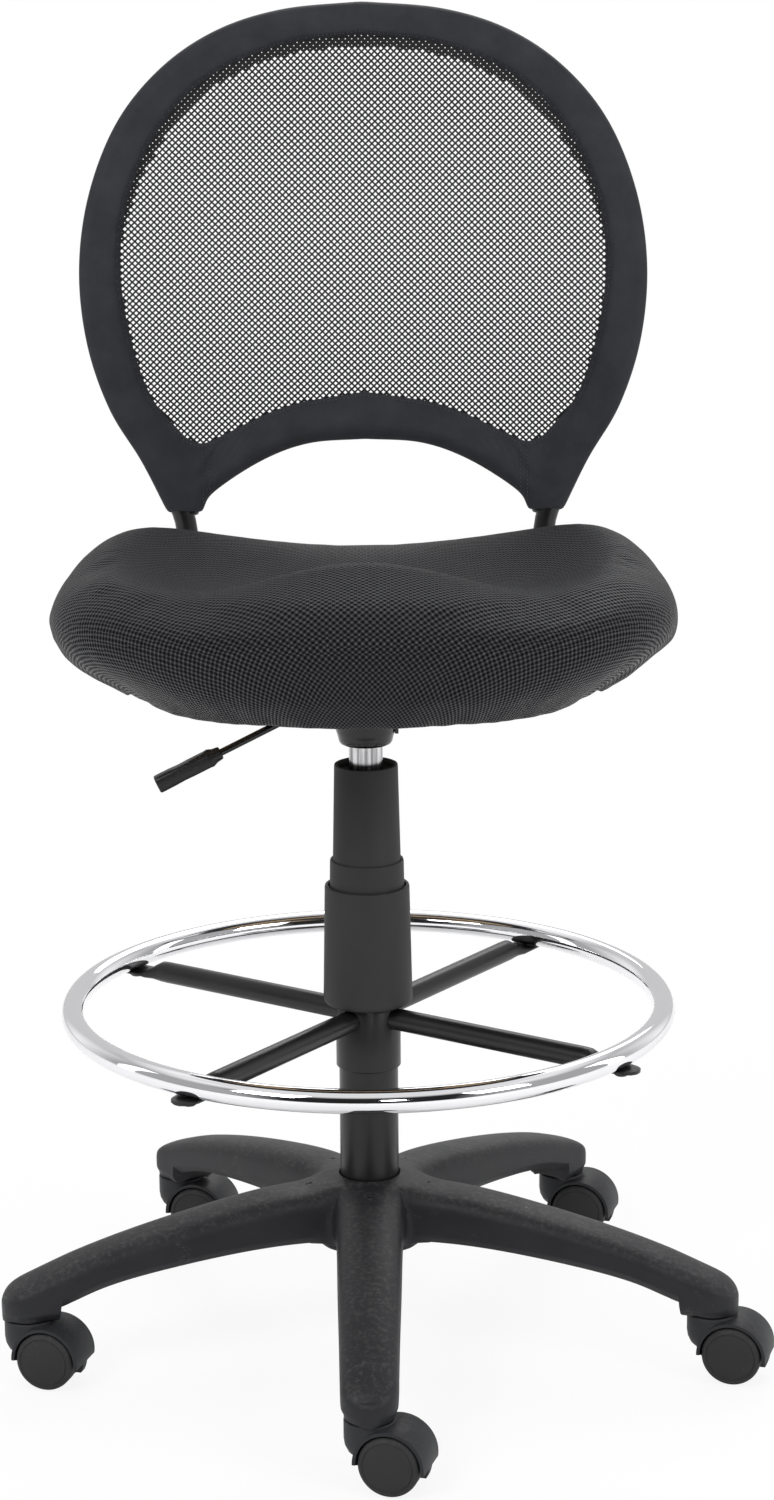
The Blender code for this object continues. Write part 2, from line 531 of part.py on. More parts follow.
def build_foot_ring(root):
    frame = make_empty("foot_ring_axis", root, (0.0, 0.0, 0.0))
    bm = bmesh.new()
    sides = 8
    section = [bm.verts.new((RING_R + RING_TUBE_R * cos(2 * pi * k / sides), 0.0,
                             RING_TUBE_R * sin(2 * pi * k / sides))) for k in range(sides)]
    edges = [bm.edges.new((section[k], section[(k + 1) % sides])) for k in range(sides)]
    bmesh.ops.spin(bm, geom=[*section, *edges], axis=(0.0, 0.0, 1.0), cent=(0.0, 0.0, 0.0), steps=40,
                   angle=2 * pi, use_merge=True)
    bmesh.ops.recalc_face_normals(bm, faces=bm.faces)
    hoop_mesh = bpy.data.meshes.new("foot_ring_hoop")
    bm.to_mesh(hoop_mesh)
    bm.free()
    hoop = make_object("foot_ring_hoop", hoop_mesh, "chrome", frame, (0.0, 0.0, RING_Z))

    tab_z = RING_Z - RING_TUBE_R - GAP - TAB_THICKNESS / 2
    spoke_mesh = loft_mesh("spoke", [
        spoke_ring(SLEEVE_BORE_R - 0.001, SPOKE_R, SPOKE_R, SPOKE_Z),
        spoke_ring(0.2050, SPOKE_R, SPOKE_R, SPOKE_Z),
        spoke_ring(0.2330, 0.0125, TAB_THICKNESS / 2, tab_z),
        spoke_ring(0.2540, 0.0125, TAB_THICKNESS / 2, tab_z),
        spoke_ring(0.2590, 0.0070, TAB_THICKNESS / 2, tab_z),
    ])
    low, high = SLEEVE_Z
    sleeve = [(0.0, high), (SLEEVE_R, high), (SLEEVE_R, low), (0.0, low)]
    spider = turned("foot_ring_spider", sleeve, "steel_black", frame, segments=22, closed=False)
    screw_profile = [(0.0, 0.0120), (0.0020, 0.0120), (0.0020, -GAP), (0.0048, -GAP), (0.0042, -0.0028),
                     (0.0, -0.0034)]
    tab_low = tab_z - TAB_THICKNESS / 2
    screw_hole = cylinder_mesh("ring_screw_hole", 0.0020 + GAP, -0.010, 0.0125, 8)
    azimuths = [SPOKE_FIRST_AZIMUTH + 90.0 * k for k in range(4)]
    for k, azimuth in enumerate(azimuths):
        turn_z = (0.0, 0.0, radians(azimuth))
        combine(spider, make_cutter(f"spoke_{k + 1}", spoke_mesh, frame, rotation=turn_z), "UNION")
    bore = cylinder_mesh("sleeve_bore", SLEEVE_BORE_R, low - 0.010, high + 0.010, 22)
    combine(spider, make_cutter("sleeve_bore", bore, frame), "DIFFERENCE")
    for k, azimuth in enumerate(azimuths):
        place = at_azimuth(RING_R, azimuth, tab_low)
        hole = make_cutter(f"ring_screw_hole_{k + 1}", screw_hole, frame, place)
        combine(spider, hole, "DIFFERENCE")
        combine(hoop, hole, "DIFFERENCE")
        turned(f"foot_ring_screw_{k + 1}", screw_profile, "steel_black", frame, segments=8, closed=False,
               location=place)

    knob_axis_z = low + 0.016
    knob_place = (0.0, 0.0, knob_axis_z)
    thread_hole = cylinder_mesh("lock_hole", 0.0033, 0.0, 0.040, 12)
    rearward = (radians(-90.0), 0.0, 0.0)
    combine(spider, make_cutter("lock_hole", thread_hole, frame, knob_place, rearward), "DIFFERENCE")
    knob = make_empty("lock_knob_axis", frame, knob_place, rearward)
    knob_profile = [(0.0, 0.0510), (0.0130, 0.0510), (0.0150, 0.0490), (0.0150, 0.0370), (0.0110, 0.0350),
                    (0.0060, 0.0350), (0.0060, SLEEVE_R + 0.0015), (0.0030, SLEEVE_R + 0.0015),
                    (0.0030, SLEEVE_BORE_R + 0.0002), (0.0, SLEEVE_BORE_R + 0.0002)]
    turned("foot_ring_lock_knob", knob_profile, "plastic_charcoal", knob, segments=16, closed=False)
    return frame


# ---------------------------------------------------------------- seat
def rounded_outline(half_x, half_y, centre_y, roundness, count=24):
    """A rounded outline between an ellipse and a rectangle, as (x, y)."""
    power = 2.0 / roundness
    points = []
    for k in range(count):
        angle = 2 * pi * k / count
        c, s = cos(angle), sin(angle)
        x = half_x * abs(c) ** power * (1 if c >= 0 else -1)
        y = half_y * abs(s) ** power * (1 if s >= 0 else -1)
        points.append((x, centre_y + y))
    return points


def bolt_profile(length):
    """A round-headed bolt pointing up, its head's upper face at height 0."""
    return [(0.0, length), (0.0030, length), (0.0030, -GAP), (0.0065, -GAP), (0.0065, -0.0050), (0.0, -0.0050)]


def build_seat(seat):
    deck = make_empty("seat_deck", seat, (0.0, 0.0, DECK_Z), (radians(-SEAT_PITCH), 0.0, 0.0))
    outline = rounded_outline(BOARD_HALF_X, BOARD_HALF_Y, BOARD_CENTRE_Y, BOARD_ROUNDNESS)
    rings = [[(x, y, z) for x, y in outline] for z in (0.0, BOARD_THICKNESS)]
    board = make_object("seat_board", loft_mesh("seat_board", rings), "wood", deck)
    outline = rounded_outline(SEAT_HALF_X, SEAT_HALF_Y, 0.0, SEAT_ROUNDNESS)
    rings = [[(x * share, SEAT_CENTRE_Y + y * share, z) for x, y in outline] for share, z in CUSHION_LEVELS]
    cushion = make_object("seat_cushion", loft_mesh("seat_cushion", rings), "seat_fabric", deck)
    smooth(cushion, 60.0)

    # the steel plate under the board: a flat sheet with a box pressed down in its middle
    sheet_x, sheet_y = PLATE_HALF
    box_x, box_y = PLATE_BOX_HALF
    top = -GAP
    plate = make_object("seat_plate", box_mesh("seat_plate", (-sheet_x, -sheet_y, top - PLATE_SHEET),
                                               (sheet_x, sheet_y, top)), "steel_black", deck)
    outer_box = box_mesh("plate_box", (-box_x, -box_y, top - PLATE_BOX_DEPTH), (box_x, box_y, top - 0.001))
    inner_box = box_mesh("plate_hollow", (-box_x + PLATE_SHEET, -box_y + PLATE_SHEET, top - PLATE_BOX_DEPTH + 0.003),
                         (box_x - PLATE_SHEET, box_y - PLATE_SHEET, top + 0.010))
    combine(plate, make_cutter("plate_box", outer_box, deck), "UNION")
    combine(plate, make_cutter("plate_hollow", inner_box, deck), "DIFFERENCE")
    lever_slot = box_mesh("lever_slot", (-0.060, -0.0140, 0.5480), (-0.030, 0.0040, 0.5645))
    combine(plate, make_cutter("lever_slot", lever_slot, seat), "DIFFERENCE")

    # the taper socket is welded through the bottom of the box
    low, high = TAPER_SOCKET_Z
    outer = TAPER_SOCKET_R
    socket_profile = [(0.0, high), (outer - 0.0010, high), (outer, high - 0.0010), (outer, low + 0.0040),
                      (outer - 0.0030, low), (0.0, low)]
    socket = make_cutter("taper_socket", profile_mesh("taper_socket", socket_profile, False), seat)
    turn(socket, 18)
    combine(plate, socket, "UNION")
    socket_bore = cylinder_mesh("socket_bore", PISTON_R + GAP, low - 0.010, high + 0.002, 18)
    combine(plate, make_cutter("socket_bore", socket_bore, seat), "DIFFERENCE")

    bolt_x, bolt_y = PLATE_BOLT
    plate_hole = cylinder_mesh("plate_bolt_hole", 0.0030 + GAP, -0.012, 0.0103, 8)
    head_z = top - PLATE_SHEET
    for k, (sx, sy) in enumerate(((-1, -1), (1, -1), (-1, 1), (1, 1))):
        place = (sx * bolt_x, sy * bolt_y, 0.0)
        hole = make_cutter(f"plate_bolt_hole_{k + 1}", plate_hole, deck, place)
        combine(plate, hole, "DIFFERENCE")
        combine(board, hole, "DIFFERENCE")
        turned(f"plate_bolt_{k + 1}", bolt_profile(0.0120), "zinc", deck, segments=8, closed=False,
               location=(place[0], place[1], head_z))
    return deck, board


def build_lever(seat):
    pivot = make_empty("lever_axis", seat, LEVER_PIVOT)
    origin = Vector(LEVER_PIVOT)
    points = [Vector(point) - origin for point in LEVER_ROD]
    bend = [points[0], points[1], points[2]]
    route = [points[0]] + smooth_path(bend, 4)[1:] + [points[3]]
    rod = make_object("lever_rod", wire_mesh("lever_rod", route, LEVER_ROD_R), "steel_black", pivot)
    smooth(rod)
    # the paddle is a flattened grip with a blind bore that takes the rod's end
    run = (points[3] - points[2]).normalized()
    start = points[2] + run * (PADDLE_START - 0.012)
    paddle = make_empty("paddle_frame", pivot, start, run.to_track_quat("X", "Z").to_euler())
    wide, thick = PADDLE_HALF
    rings = []
    for x, width, height in ((0.0, 0.0052, 0.0050), (0.008, 0.0062, 0.0058), (0.016, wide, thick),
                             (PADDLE_LENGTH - 0.004, wide + 0.0008, thick), (PADDLE_LENGTH, wide - 0.001, thick - 0.001)):
        flat = 0.55              # share of each side that stays flat between the rounded corners
        half = [(width, -height * flat), (width, height * flat), (width * flat, height),
                (-width * flat, height)]
        rings.append([(x, y, z) for y, z in half + [(-y, -z) for y, z in half]])
    grip = make_object("lever_paddle", loft_mesh("lever_paddle", rings), "plastic_charcoal", paddle)
    rod_end = (points[3] - start).length + GAP
    bore = cylinder_mesh("paddle_bore", LEVER_ROD_R + GAP, -0.010, rod_end, 12)
    combine(grip, make_cutter("paddle_bore", bore, paddle, rotation=(0.0, radians(90.0), 0.0)), "DIFFERENCE")
    return pivot


# ---------------------------------------------------------------- back
def lean(z):
    """How far back the middle line lies at height z."""
    heights = [point[0] for point in BACK_LEAN]
    k = max(i for i in range(len(heights) - 1) if i == 0 or heights[i] <= z)
    z0, z1 = heights[k], heights[k + 1]
    t = (z - z0) / (z1 - z0)
    before = BACK_LEAN[max(k - 1, 0)]
    after = BACK_LEAN[min(k + 2, len(BACK_LEAN) - 1)]
    y0, y1 = BACK_LEAN[k][1], BACK_LEAN[k + 1][1]
    slope0 = (y1 - before[1]) / (z1 - before[0]) * (z1 - z0)
    slope1 = (after[1] - y0) / (after[0] - z0) * (z1 - z0)
    return (y0 * (2 * t ** 3 - 3 * t ** 2 + 1) + y1 * (3 * t ** 2 - 2 * t ** 3)
            + slope0 * (t ** 3 - 2 * t ** 2 + t) + slope1 * (t ** 3 - t ** 2))


def back_y(x, z):
    """The back's middle surface: it leans back and its sides come forward."""
    return lean(z) - BACK_BOW * (x / 0.25) ** 2


def on_back(x, z, offset=0.0):
    return Vector((x, back_y(x, z) + offset, z))


def flat_path(points, count):
    """An evenly spaced smooth route in the XZ plane, as pairs."""
    route = evenly_spaced(smooth_path([(x, 0.0, z) for x, z in points], 8), count)
    return [(point.x, point.z) for point in route]


def inset_path(path, distance):
    """The route moved to its right-hand side."""
    moved = []
    for i, (x, z) in enumerate(path):
        x0, z0 = path[max(i - 1, 0)]
        x1, z1 = path[min(i + 1, len(path) - 1)]
        length = hypot(x1 - x0, z1 - z0)
        moved.append((x + (z1 - z0) / length * distance, z - (x1 - x0) / length * distance))
    return moved


def mirrored(half):
    """A half route that ends on the middle line, continued on the other side."""
    return half + [(-x, z) for x, z in reversed(half[:-1])]


def nearest_on(route, x, z):
    """The distance to a 3-D route as seen from the front, and how far back the route lies there."""
    best = (1.0, 0.0)
    for a, b in zip(route, route[1:]):
        dx, dz = b.x - a.x, b.z - a.z
        t = ((x - a.x) * dx + (z - a.z) * dz) / max(dx * dx + dz * dz, 1e-12)
        t = min(max(t, 0.0), 1.0)
        best = min(best, (hypot(x - a.x - t * dx, z - a.z - t * dz), a.y + (b.y - a.y) * t))
    return best


def clear_of(route, radius, x, z, side):
    """How far a cover has to stand off the middle surface to pass over a round bar."""
    distance, y = nearest_on(route, x, z)
    if distance >= radius:
        return 0.0
    return side * (y - back_y(x, z)) + sqrt(radius ** 2 - distance ** 2)


def build_back(deck, board, seat):
    half_hoop = inset_path(flat_path(BACK_OUTLINE, 20), BACK_TUBE_R + 0.0020)
    half_hoop = [(x, z) for x, z in half_hoop if z > 0.690]
    half_hoop[0] = (0.0, half_hoop[0][1])
    leg = [on_back(x, z) for x, z in half_hoop]
    leg += smooth_path([leg[-1], on_back(0.1605, 0.660), Vector((LEG_X, LEG_REAR_Y, 0.610))], 3)[1:]
    slope = radians(SEAT_PITCH)
    under = BACK_TUBE_R + GAP + 0.0002
    run_z = DECK_Z - under / cos(slope)
    bend = LEG_BEND_R
    # the leg turns from upright into the run under the board, which slopes with the deck
    turn_angle = pi / 2 + slope
    rear_z = run_z - tan(slope) * LEG_REAR_Y
    tangent = bend * tan(turn_angle / 2)
    centre = Vector((LEG_X, LEG_REAR_Y - bend, rear_z + tangent))
    leg += [centre + Vector((0.0, bend * cos(turn_angle * k / 4), -bend * sin(turn_angle * k / 4)))
            for k in range(5)]
    leg.append(Vector((LEG_X, LEG_FRONT_Y, run_z - tan(slope) * LEG_FRONT_Y)))
    other_leg = [Vector((-point.x, point.y, point.z)) for point in reversed(leg[1:])]
    frame = make_object("back_frame", wire_mesh("back_frame", other_leg + leg, BACK_TUBE_R, 2),
                        "steel_black", seat)
    smooth(frame)

    # the arch bar is welded between the legs
    arch_half = inset_path(flat_path(BACK_ARCH, 8), BACK_ARCH_R + 0.0022)
    arch_half[-1] = (0.0, arch_half[-1][1])
    weld_distance = BACK_TUBE_R + BACK_ARCH_R
    arch_route = [on_back(x, z) for x, z in arch_half if nearest_on(leg, x, z)[0] > weld_distance]
    arch_route.insert(0, min(leg, key=lambda point: (point - arch_route[0]).length))
    other_half = [Vector((-point.x, point.y, point.z)) for point in reversed(arch_route[:-1])]
    bar = wire_mesh("back_arch_bar", arch_route + other_half, BACK_ARCH_R, 2)
    combine(frame, make_cutter("back_arch_bar", bar, seat), "UNION")

    # two cover panels, in front of the tubes and behind them, from the outer edge to the net's window
    outer_half = flat_path(BACK_OUTLINE, 15) + flat_path([BACK_OUTLINE[-1], BACK_ARCH[0]], 3)[1:-1]
    outer_half += flat_path(BACK_ARCH, 7)
    window_half = flat_path(BACK_WINDOW, 15) + flat_path(BACK_LOBE, 3)[1:-1] + flat_path(BACK_WINDOW_ARCH, 7)
    outer = mirrored(outer_half)[:-1]
    window = mirrored(window_half)[:-1]
    shares = (0.0, 0.20, 0.50, 1.0)
    swell = (0.0052, 0.0130, 0.0130, 0.0013)

    def stand_off(x, z, least, side):
        """How far a cover's inner face stands off the middle surface: it clears the tubes and closes at its edges."""
        over_tube = clear_of(leg, BACK_TUBE_R + COVER_CLEARANCE, abs(x), z, side)
        over_bar = clear_of(arch_route, BACK_ARCH_R + COVER_CLEARANCE, abs(x), z, side)
        return max(least, over_tube, over_bar)

    for name, side in (("back_cover_front", -1.0), ("back_cover_rear", 1.0)):
        bm = bmesh.new()
        layers = []
        for skin in (0.0, BACK_COVER):
            rows = []
            for share, least in zip(shares, swell):
                row = []
                for (xo, zo), (xw, zw) in zip(outer, window):
                    x, z = xo + (xw - xo) * share, zo + (zw - zo) * share
                    row.append(bm.verts.new(on_back(x, z, side * (stand_off(x, z, least, side) + skin))))
                rows.append(row)
            layers.append(rows)
        inner, skin_out = layers
        loop = inner + list(reversed(skin_out))
        count = len(outer)
        for a, b in zip(loop, loop[1:] + loop[:1]):
            for i in range(count):
                j = (i + 1) % count
                bm.faces.new((a[i], a[j], b[j], b[i]))
        bmesh.ops.triangulate(bm, faces=bm.faces)
        bmesh.ops.recalc_face_normals(bm, faces=bm.faces)
        mesh = bpy.data.meshes.new(name)
        bm.to_mesh(mesh)
        bm.free()
        smooth(make_object(name, mesh, "back_knit", seat))

    # the net: a thin curved sheet whose edge is held between the two panels
    net_half = 0.0005
    bm = bmesh.new()
    skins = []
    for offset in (-net_half, net_half):
        rows = []
        for share in (1.015, 0.70, 0.36):
            row = []
            for x, z in window:
                xs = BACK_MIDDLE[0] + (x - BACK_MIDDLE[0]) * share
                zs = BACK_MIDDLE[1] + (z - BACK_MIDDLE[1]) * share
                row.append(bm.verts.new(on_back(xs, zs, offset)))
            rows.append(row)
        centre = bm.verts.new(on_back(*BACK_MIDDLE, offset))
        count = len(window)
        for a, b in zip(rows, rows[1:]):
            for i in range(count):
                j = (i + 1) % count
                bm.faces.new((a[i], a[j], b[j], b[i]))
        for i in range(count):
            bm.faces.new((rows[-1][i], rows[-1][(i + 1) % count], centre))
        skins.append(rows[0])
    for i in range(count):
        j = (i + 1) % count
        bm.faces.new((skins[0][i], skins[0][j], skins[1][j], skins[1][i]))
    bmesh.ops.recalc_face_normals(bm, faces=bm.faces)
    mesh = bpy.data.meshes.new("back_net")
    bm.to_mesh(mesh)
    bm.free()
    smooth(make_object("back_net", mesh, "back_net", seat))

    # two bolts through each leg's run into the board
    hole_mesh = cylinder_mesh("back_bolt_hole", 0.0030 + GAP, -0.040, 0.0103, 8)
    head_z = -(2 * BACK_TUBE_R + GAP + 0.0008)
    number = 1
    for sign in (-1, 1):
        for y in BACK_BOLT_Y:
            place = (sign * LEG_X, y, 0.0)
            hole = make_cutter(f"back_bolt_hole_{number}", hole_mesh, deck, place)
            combine(frame, hole, "DIFFERENCE")
            combine(board, hole, "DIFFERENCE")
            turned(f"back_bolt_{number}", bolt_profile(0.0270), "zinc", deck, segments=8, closed=False,
                   location=(place[0], place[1], head_z))
            number += 1


# ---------------------------------------------------------------- placing
def stand_over_origin(root):
    """Move the chair so that the middle of its box is over the origin."""
    bpy.context.view_layer.update()
    graph = bpy.context.evaluated_depsgraph_get()
    low = Vector((1e9, 1e9, 1e9))
    high = -low
    for obj in CHAIR.objects:
        if obj.type != "MESH":
            continue
        evaluated = obj.evaluated_get(graph)
        mesh = evaluated.to_mesh()
        for vertex in mesh.vertices:
            point = evaluated.matrix_world @ vertex.co
            low = Vector(map(min, low, point))
            high = Vector(map(max, high, point))
        evaluated.to_mesh_clear()
    root.location = (-(low.x + high.x) / 2, -(low.y + high.y) / 2, 0.0)
    bpy.context.view_layer.update()


clear_scene()
CHAIR = make_collection("drafting_chair")
CONSTRUCTION = make_collection("construction")

chair_root = make_empty("chair_root", None, (0.0, 0.0, 0.0))
base_frame = build_base(chair_root)
for caster_index in range(ARM_COUNT):
    build_caster(base_frame, caster_index)
lift_frame = build_gas_lift(base_frame, chair_root)
ring_frame = build_foot_ring(chair_root)
build_covers(base_frame, ring_frame)
seat_frame = make_empty("seat_axis", lift_frame, (0.0, 0.0, 0.0))
seat_deck, seat_board = build_seat(seat_frame)
build_lever(seat_frame)
build_back(seat_deck, seat_board, seat_frame)
stand_over_origin(chair_root)
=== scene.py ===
"""Looks of the drafting chair: its materials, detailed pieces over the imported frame, studio and camera."""

from math import atan2, cos, exp, hypot, pi, radians, sin, sqrt, tan

import bpy
import bmesh
from mathutils import Matrix, Vector, noise
from mathutils.bvhtree import BVHTree
from mathutils.interpolate import poly_3d_calc


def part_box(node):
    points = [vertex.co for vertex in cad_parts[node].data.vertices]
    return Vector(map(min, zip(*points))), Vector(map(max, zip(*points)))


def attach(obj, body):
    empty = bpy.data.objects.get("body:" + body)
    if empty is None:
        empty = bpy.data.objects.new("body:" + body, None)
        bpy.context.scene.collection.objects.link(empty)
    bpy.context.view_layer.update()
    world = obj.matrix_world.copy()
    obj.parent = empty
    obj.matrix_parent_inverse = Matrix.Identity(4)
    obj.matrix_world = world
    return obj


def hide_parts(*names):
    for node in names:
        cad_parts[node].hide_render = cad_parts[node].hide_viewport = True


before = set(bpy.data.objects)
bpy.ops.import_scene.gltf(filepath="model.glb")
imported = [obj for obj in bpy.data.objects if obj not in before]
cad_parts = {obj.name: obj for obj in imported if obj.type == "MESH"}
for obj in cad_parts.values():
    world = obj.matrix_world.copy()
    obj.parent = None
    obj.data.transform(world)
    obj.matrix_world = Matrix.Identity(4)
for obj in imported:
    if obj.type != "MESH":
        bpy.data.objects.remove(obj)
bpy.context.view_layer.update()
bpy.ops.object.select_all(action="DESELECT")

# ---------------------------------------------------------------- the column axis and driving sizes
column_low, column_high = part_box("column_tube")
AXIS_X = (column_low[0] + column_high[0]) / 2
AXIS_Y = (column_low[1] + column_high[1]) / 2
AXIS = Vector((AXIS_X, AXIS_Y, 0.0))

ARM_COUNT = 5
ARM_FIRST_AZIMUTH = -90.0
STEM_CIRCLE_R = 0.2983
CASTER_AZIMUTH = -17.0
CASTER_TRAIL = 0.0205
WHEEL_R = 0.0248
SPOKE_FIRST_AZIMUTH = 55.5
RING_R = 0.2473
RING_TUBE_R = 0.0098
RING_Z = 0.2960
SPOKE_Z = 0.2872
SEAT_PITCH = radians(-4.0)
DECK_Z = 0.5695
LEG_X = 0.1575
BACK_TUBE_R = 0.0095
GAP = 0.0003
SQUARED = 0.55          # the power that squares an oval outline


def about_column(piece):
    """Move a finished mesh from the column's own coordinates to the row frame."""
    piece.data.transform(Matrix.Translation(AXIS))
    return piece


def arm_azimuth(index):
    return radians(ARM_FIRST_AZIMUTH + 360.0 / ARM_COUNT * index)


# ---------------------------------------------------------------- modelling helpers
def clamp(value):
    return min(max(value, 0.0), 1.0)


def bell(*terms):
    """A bell curve: 1 where every term is 0, near 0 where one is past 2."""
    return exp(-sum(term * term for term in terms) / 2)


def bent(value, power):
    """A sine or cosine raised to a power with its sign kept, which squares a round outline."""
    return abs(value) ** power * (1 if value >= 0 else -1)


def deselect():
    bpy.ops.object.select_all(action="DESELECT")


def drop(*pieces):
    for piece in pieces:
        bpy.data.objects.remove(piece, do_unlink=True)


def turned(place, degrees_round, axis="X"):
    """The matrix that turns a mesh about an axis and then sets it at a place."""
    return Matrix.Translation(place) @ Matrix.Rotation(radians(degrees_round), 4, axis)


def keep_only(piece):
    deselect()
    piece.select_set(True)
    bpy.context.view_layer.objects.active = piece


def apply_all(piece):
    keep_only(piece)
    for modifier in list(piece.modifiers):
        bpy.ops.object.modifier_apply(modifier=modifier.name)
    return piece


def modified(piece, kind, **settings):
    """Add one modifier with its settings and apply it."""
    modifier = piece.modifiers.new(kind.lower(), kind)
    for key, value in settings.items():
        setattr(modifier, key, value)
    return apply_all(piece)


def settle(piece, name=None):
    """Put the piece's place into its mesh, and name it."""
    keep_only(piece)
    bpy.ops.object.transform_apply(location=True, rotation=True, scale=True)
    if name:
        piece.name = name
        piece.data.name = name
    return piece


def soften(piece, angle=35.0):
    keep_only(piece)
    bpy.ops.object.shade_smooth_by_angle(angle=radians(angle))
    return piece


def bevelled(piece, width, segments=2, angle=35.0):
    return modified(piece, "BEVEL", width=width, segments=segments, limit_method="ANGLE", angle_limit=radians(angle),
                    harden_normals=False)


def rounded(piece, levels=1):
    return modified(piece, "SUBSURF", levels=levels, render_levels=levels)


def cut(piece, tool, operation="DIFFERENCE"):
    """A boolean with a tool that is then thrown away."""
    modified(piece, "BOOLEAN", operation=operation, solver="EXACT", object=tool)
    drop(tool)
    return piece


def clean(piece, distance=0.00002):
    keep_only(piece)
    bpy.ops.object.mode_set(mode="EDIT")
    bpy.ops.mesh.select_all(action="SELECT")
    bpy.ops.mesh.remove_doubles(threshold=distance)
    bpy.ops.mesh.normals_make_consistent(inside=False)
    bpy.ops.object.mode_set(mode="OBJECT")
    return piece


def mesh_piece(name, points, faces):
    """A piece from points and faces that operators can't give."""
    mesh = bpy.data.meshes.new(name)
    mesh.from_pydata([tuple(point) for point in points], [], faces)
    mesh.update()
    piece = bpy.data.objects.new(name, mesh)
    bpy.context.scene.collection.objects.link(piece)
    return piece


def ring_strips(rows, sides, base=0):
    """The faces between neighbouring closed rings of points."""
    faces = []
    for row in range(rows - 1):
        a, b = base + row * sides, base + (row + 1) * sides
        for k in range(sides):
            after = (k + 1) % sides
            faces.append((a + k, a + after, b + after, b + k))
    return faces


def end_faces(rows, sides, base=0):
    """The faces that close the first and the last ring."""
    last = base + (rows - 1) * sides
    return [tuple(base + k for k in reversed(range(sides))), tuple(last + k for k in range(sides))]


def oval_loft(name, stations, sides):
    """A closed bar through cross sections: (distance, half width, half thickness, height, power of its outline)."""
    points = []
    for distance, wide, thick, height, power in stations:
        for k in range(sides):
            angle = 2 * pi * k / sides
            points.append((distance, wide * bent(cos(angle), power), height + thick * bent(sin(angle), power)))
    faces = ring_strips(len(stations), sides) + end_faces(len(stations), sides)
    return clean(mesh_piece(name, points, faces))


POINT_R = 0.00005       # the small ring that a turned piece starts from on its axis, closed by a face


def lathe(name, profile, segments=64):
    """A turned piece: a ring grown by extrusion through (radius, height) and bridged back to its start."""
    first_r, first_z = profile[0]
    keep_r = max(first_r, POINT_R)
    deselect()
    bpy.ops.mesh.primitive_circle_add(vertices=segments, radius=keep_r, location=(0.0, 0.0, first_z))
    piece = bpy.context.object
    settle(piece, name)
    bpy.ops.object.mode_set(mode="EDIT")
    bpy.ops.mesh.select_all(action="SELECT")
    radius, height = keep_r, first_z
    for next_r, next_z in profile[1:]:
        next_r = max(next_r, POINT_R)
        bpy.ops.mesh.extrude_edges_move(TRANSFORM_OT_translate={"value": (0.0, 0.0, next_z - height)})
        share = next_r / radius
        bpy.ops.transform.resize(value=(share, share, 1.0), center_override=(0.0, 0.0, next_z))
        radius, height = next_r, next_z
    bpy.ops.object.mode_set(mode="OBJECT")
    bm = bmesh.new()
    bm.from_mesh(piece.data)
    rim = [edge for edge in bm.edges if edge.is_boundary]
    if min(profile[0][0], profile[-1][0]) < 2 * POINT_R:
        bmesh.ops.holes_fill(bm, edges=rim, sides=0)
    else:
        bmesh.ops.bridge_loops(bm, edges=rim)
    bm.to_mesh(piece.data)
    bm.free()
    return clean(piece)


def bar(name, points, radius, resolution=6):
    """A round bar along points, turned into a mesh."""
    curve = bpy.data.curves.new(name, "CURVE")
    curve.dimensions = "3D"
    curve.bevel_depth = radius
    curve.bevel_resolution = resolution
    curve.use_fill_caps = True
    spline = curve.splines.new("POLY")
    spline.points.add(len(points) - 1)
    for spline_point, point in zip(spline.points, points):
        spline_point.co = (*point, 1.0)
    piece = bpy.data.objects.new(name, curve)
    bpy.context.scene.collection.objects.link(piece)
    keep_only(piece)
    bpy.ops.object.convert(target="MESH")
    return soften(clean(bpy.context.object), 50.0)


def smooth_path(points, per_span):
    """Points on a Catmull-Rom curve through the given points."""
    vectors = [Vector(point) for point in points]
    ends = [2 * vectors[0] - vectors[1], *vectors, 2 * vectors[-1] - vectors[-2]]
    path = []
    for a, b, c, d in zip(ends, ends[1:], ends[2:], ends[3:]):
        for step in range(per_span):
            t = step / per_span
            path.append(0.5 * (2 * b + (c - a) * t + (2 * a - 5 * b + 4 * c - d) * t ** 2
                               + (3 * b - a - 3 * c + d) * t ** 3))
    path.append(vectors[-1])
    return path


def evenly_spaced(path, count):
    """The same route as count points at equal distances."""
    lengths = [0.0]
    for a, b in zip(path, path[1:]):
        lengths.append(lengths[-1] + (b - a).length)
    result = []
    k = 0
    for i in range(count):
        goal = lengths[-1] * i / (count - 1)
        while k < len(path) - 2 and lengths[k + 1] < goal:
            k += 1
        share = (goal - lengths[k]) / max(lengths[k + 1] - lengths[k], 1e-9)
        result.append(path[k].lerp(path[k + 1], min(share, 1.0)))
    return result


def copy_of(piece, name, matrix):
    """A copy with its own mesh, moved by a matrix."""
    other = piece.copy()
    other.data = piece.data.copy()
    other.name = name
    other.data.name = name
    other.data.transform(matrix)
    bpy.context.scene.collection.objects.link(other)
    return other


def curve_at(table, x):
    """A smooth value between the rows of a table of (x, value)."""
    xs = [row[0] for row in table]
    k = max([i for i in range(len(xs) - 1) if xs[i] <= x], default=0)
    x0, x1 = xs[k], xs[k + 1]
    t = clamp((x - x0) / (x1 - x0))
    before = table[max(k - 1, 0)]
    after = table[min(k + 2, len(table) - 1)]
    y0, y1 = table[k][1], table[k + 1][1]
    slope0 = (y1 - before[1]) / (x1 - before[0]) * (x1 - x0)
    slope1 = (after[1] - y0) / (after[0] - x0) * (x1 - x0)
    return (y0 * (2 * t ** 3 - 3 * t ** 2 + 1) + y1 * (3 * t ** 2 - 2 * t ** 3)
            + slope0 * (t ** 3 - 2 * t ** 2 + t) + slope1 * (t ** 3 - t ** 2))


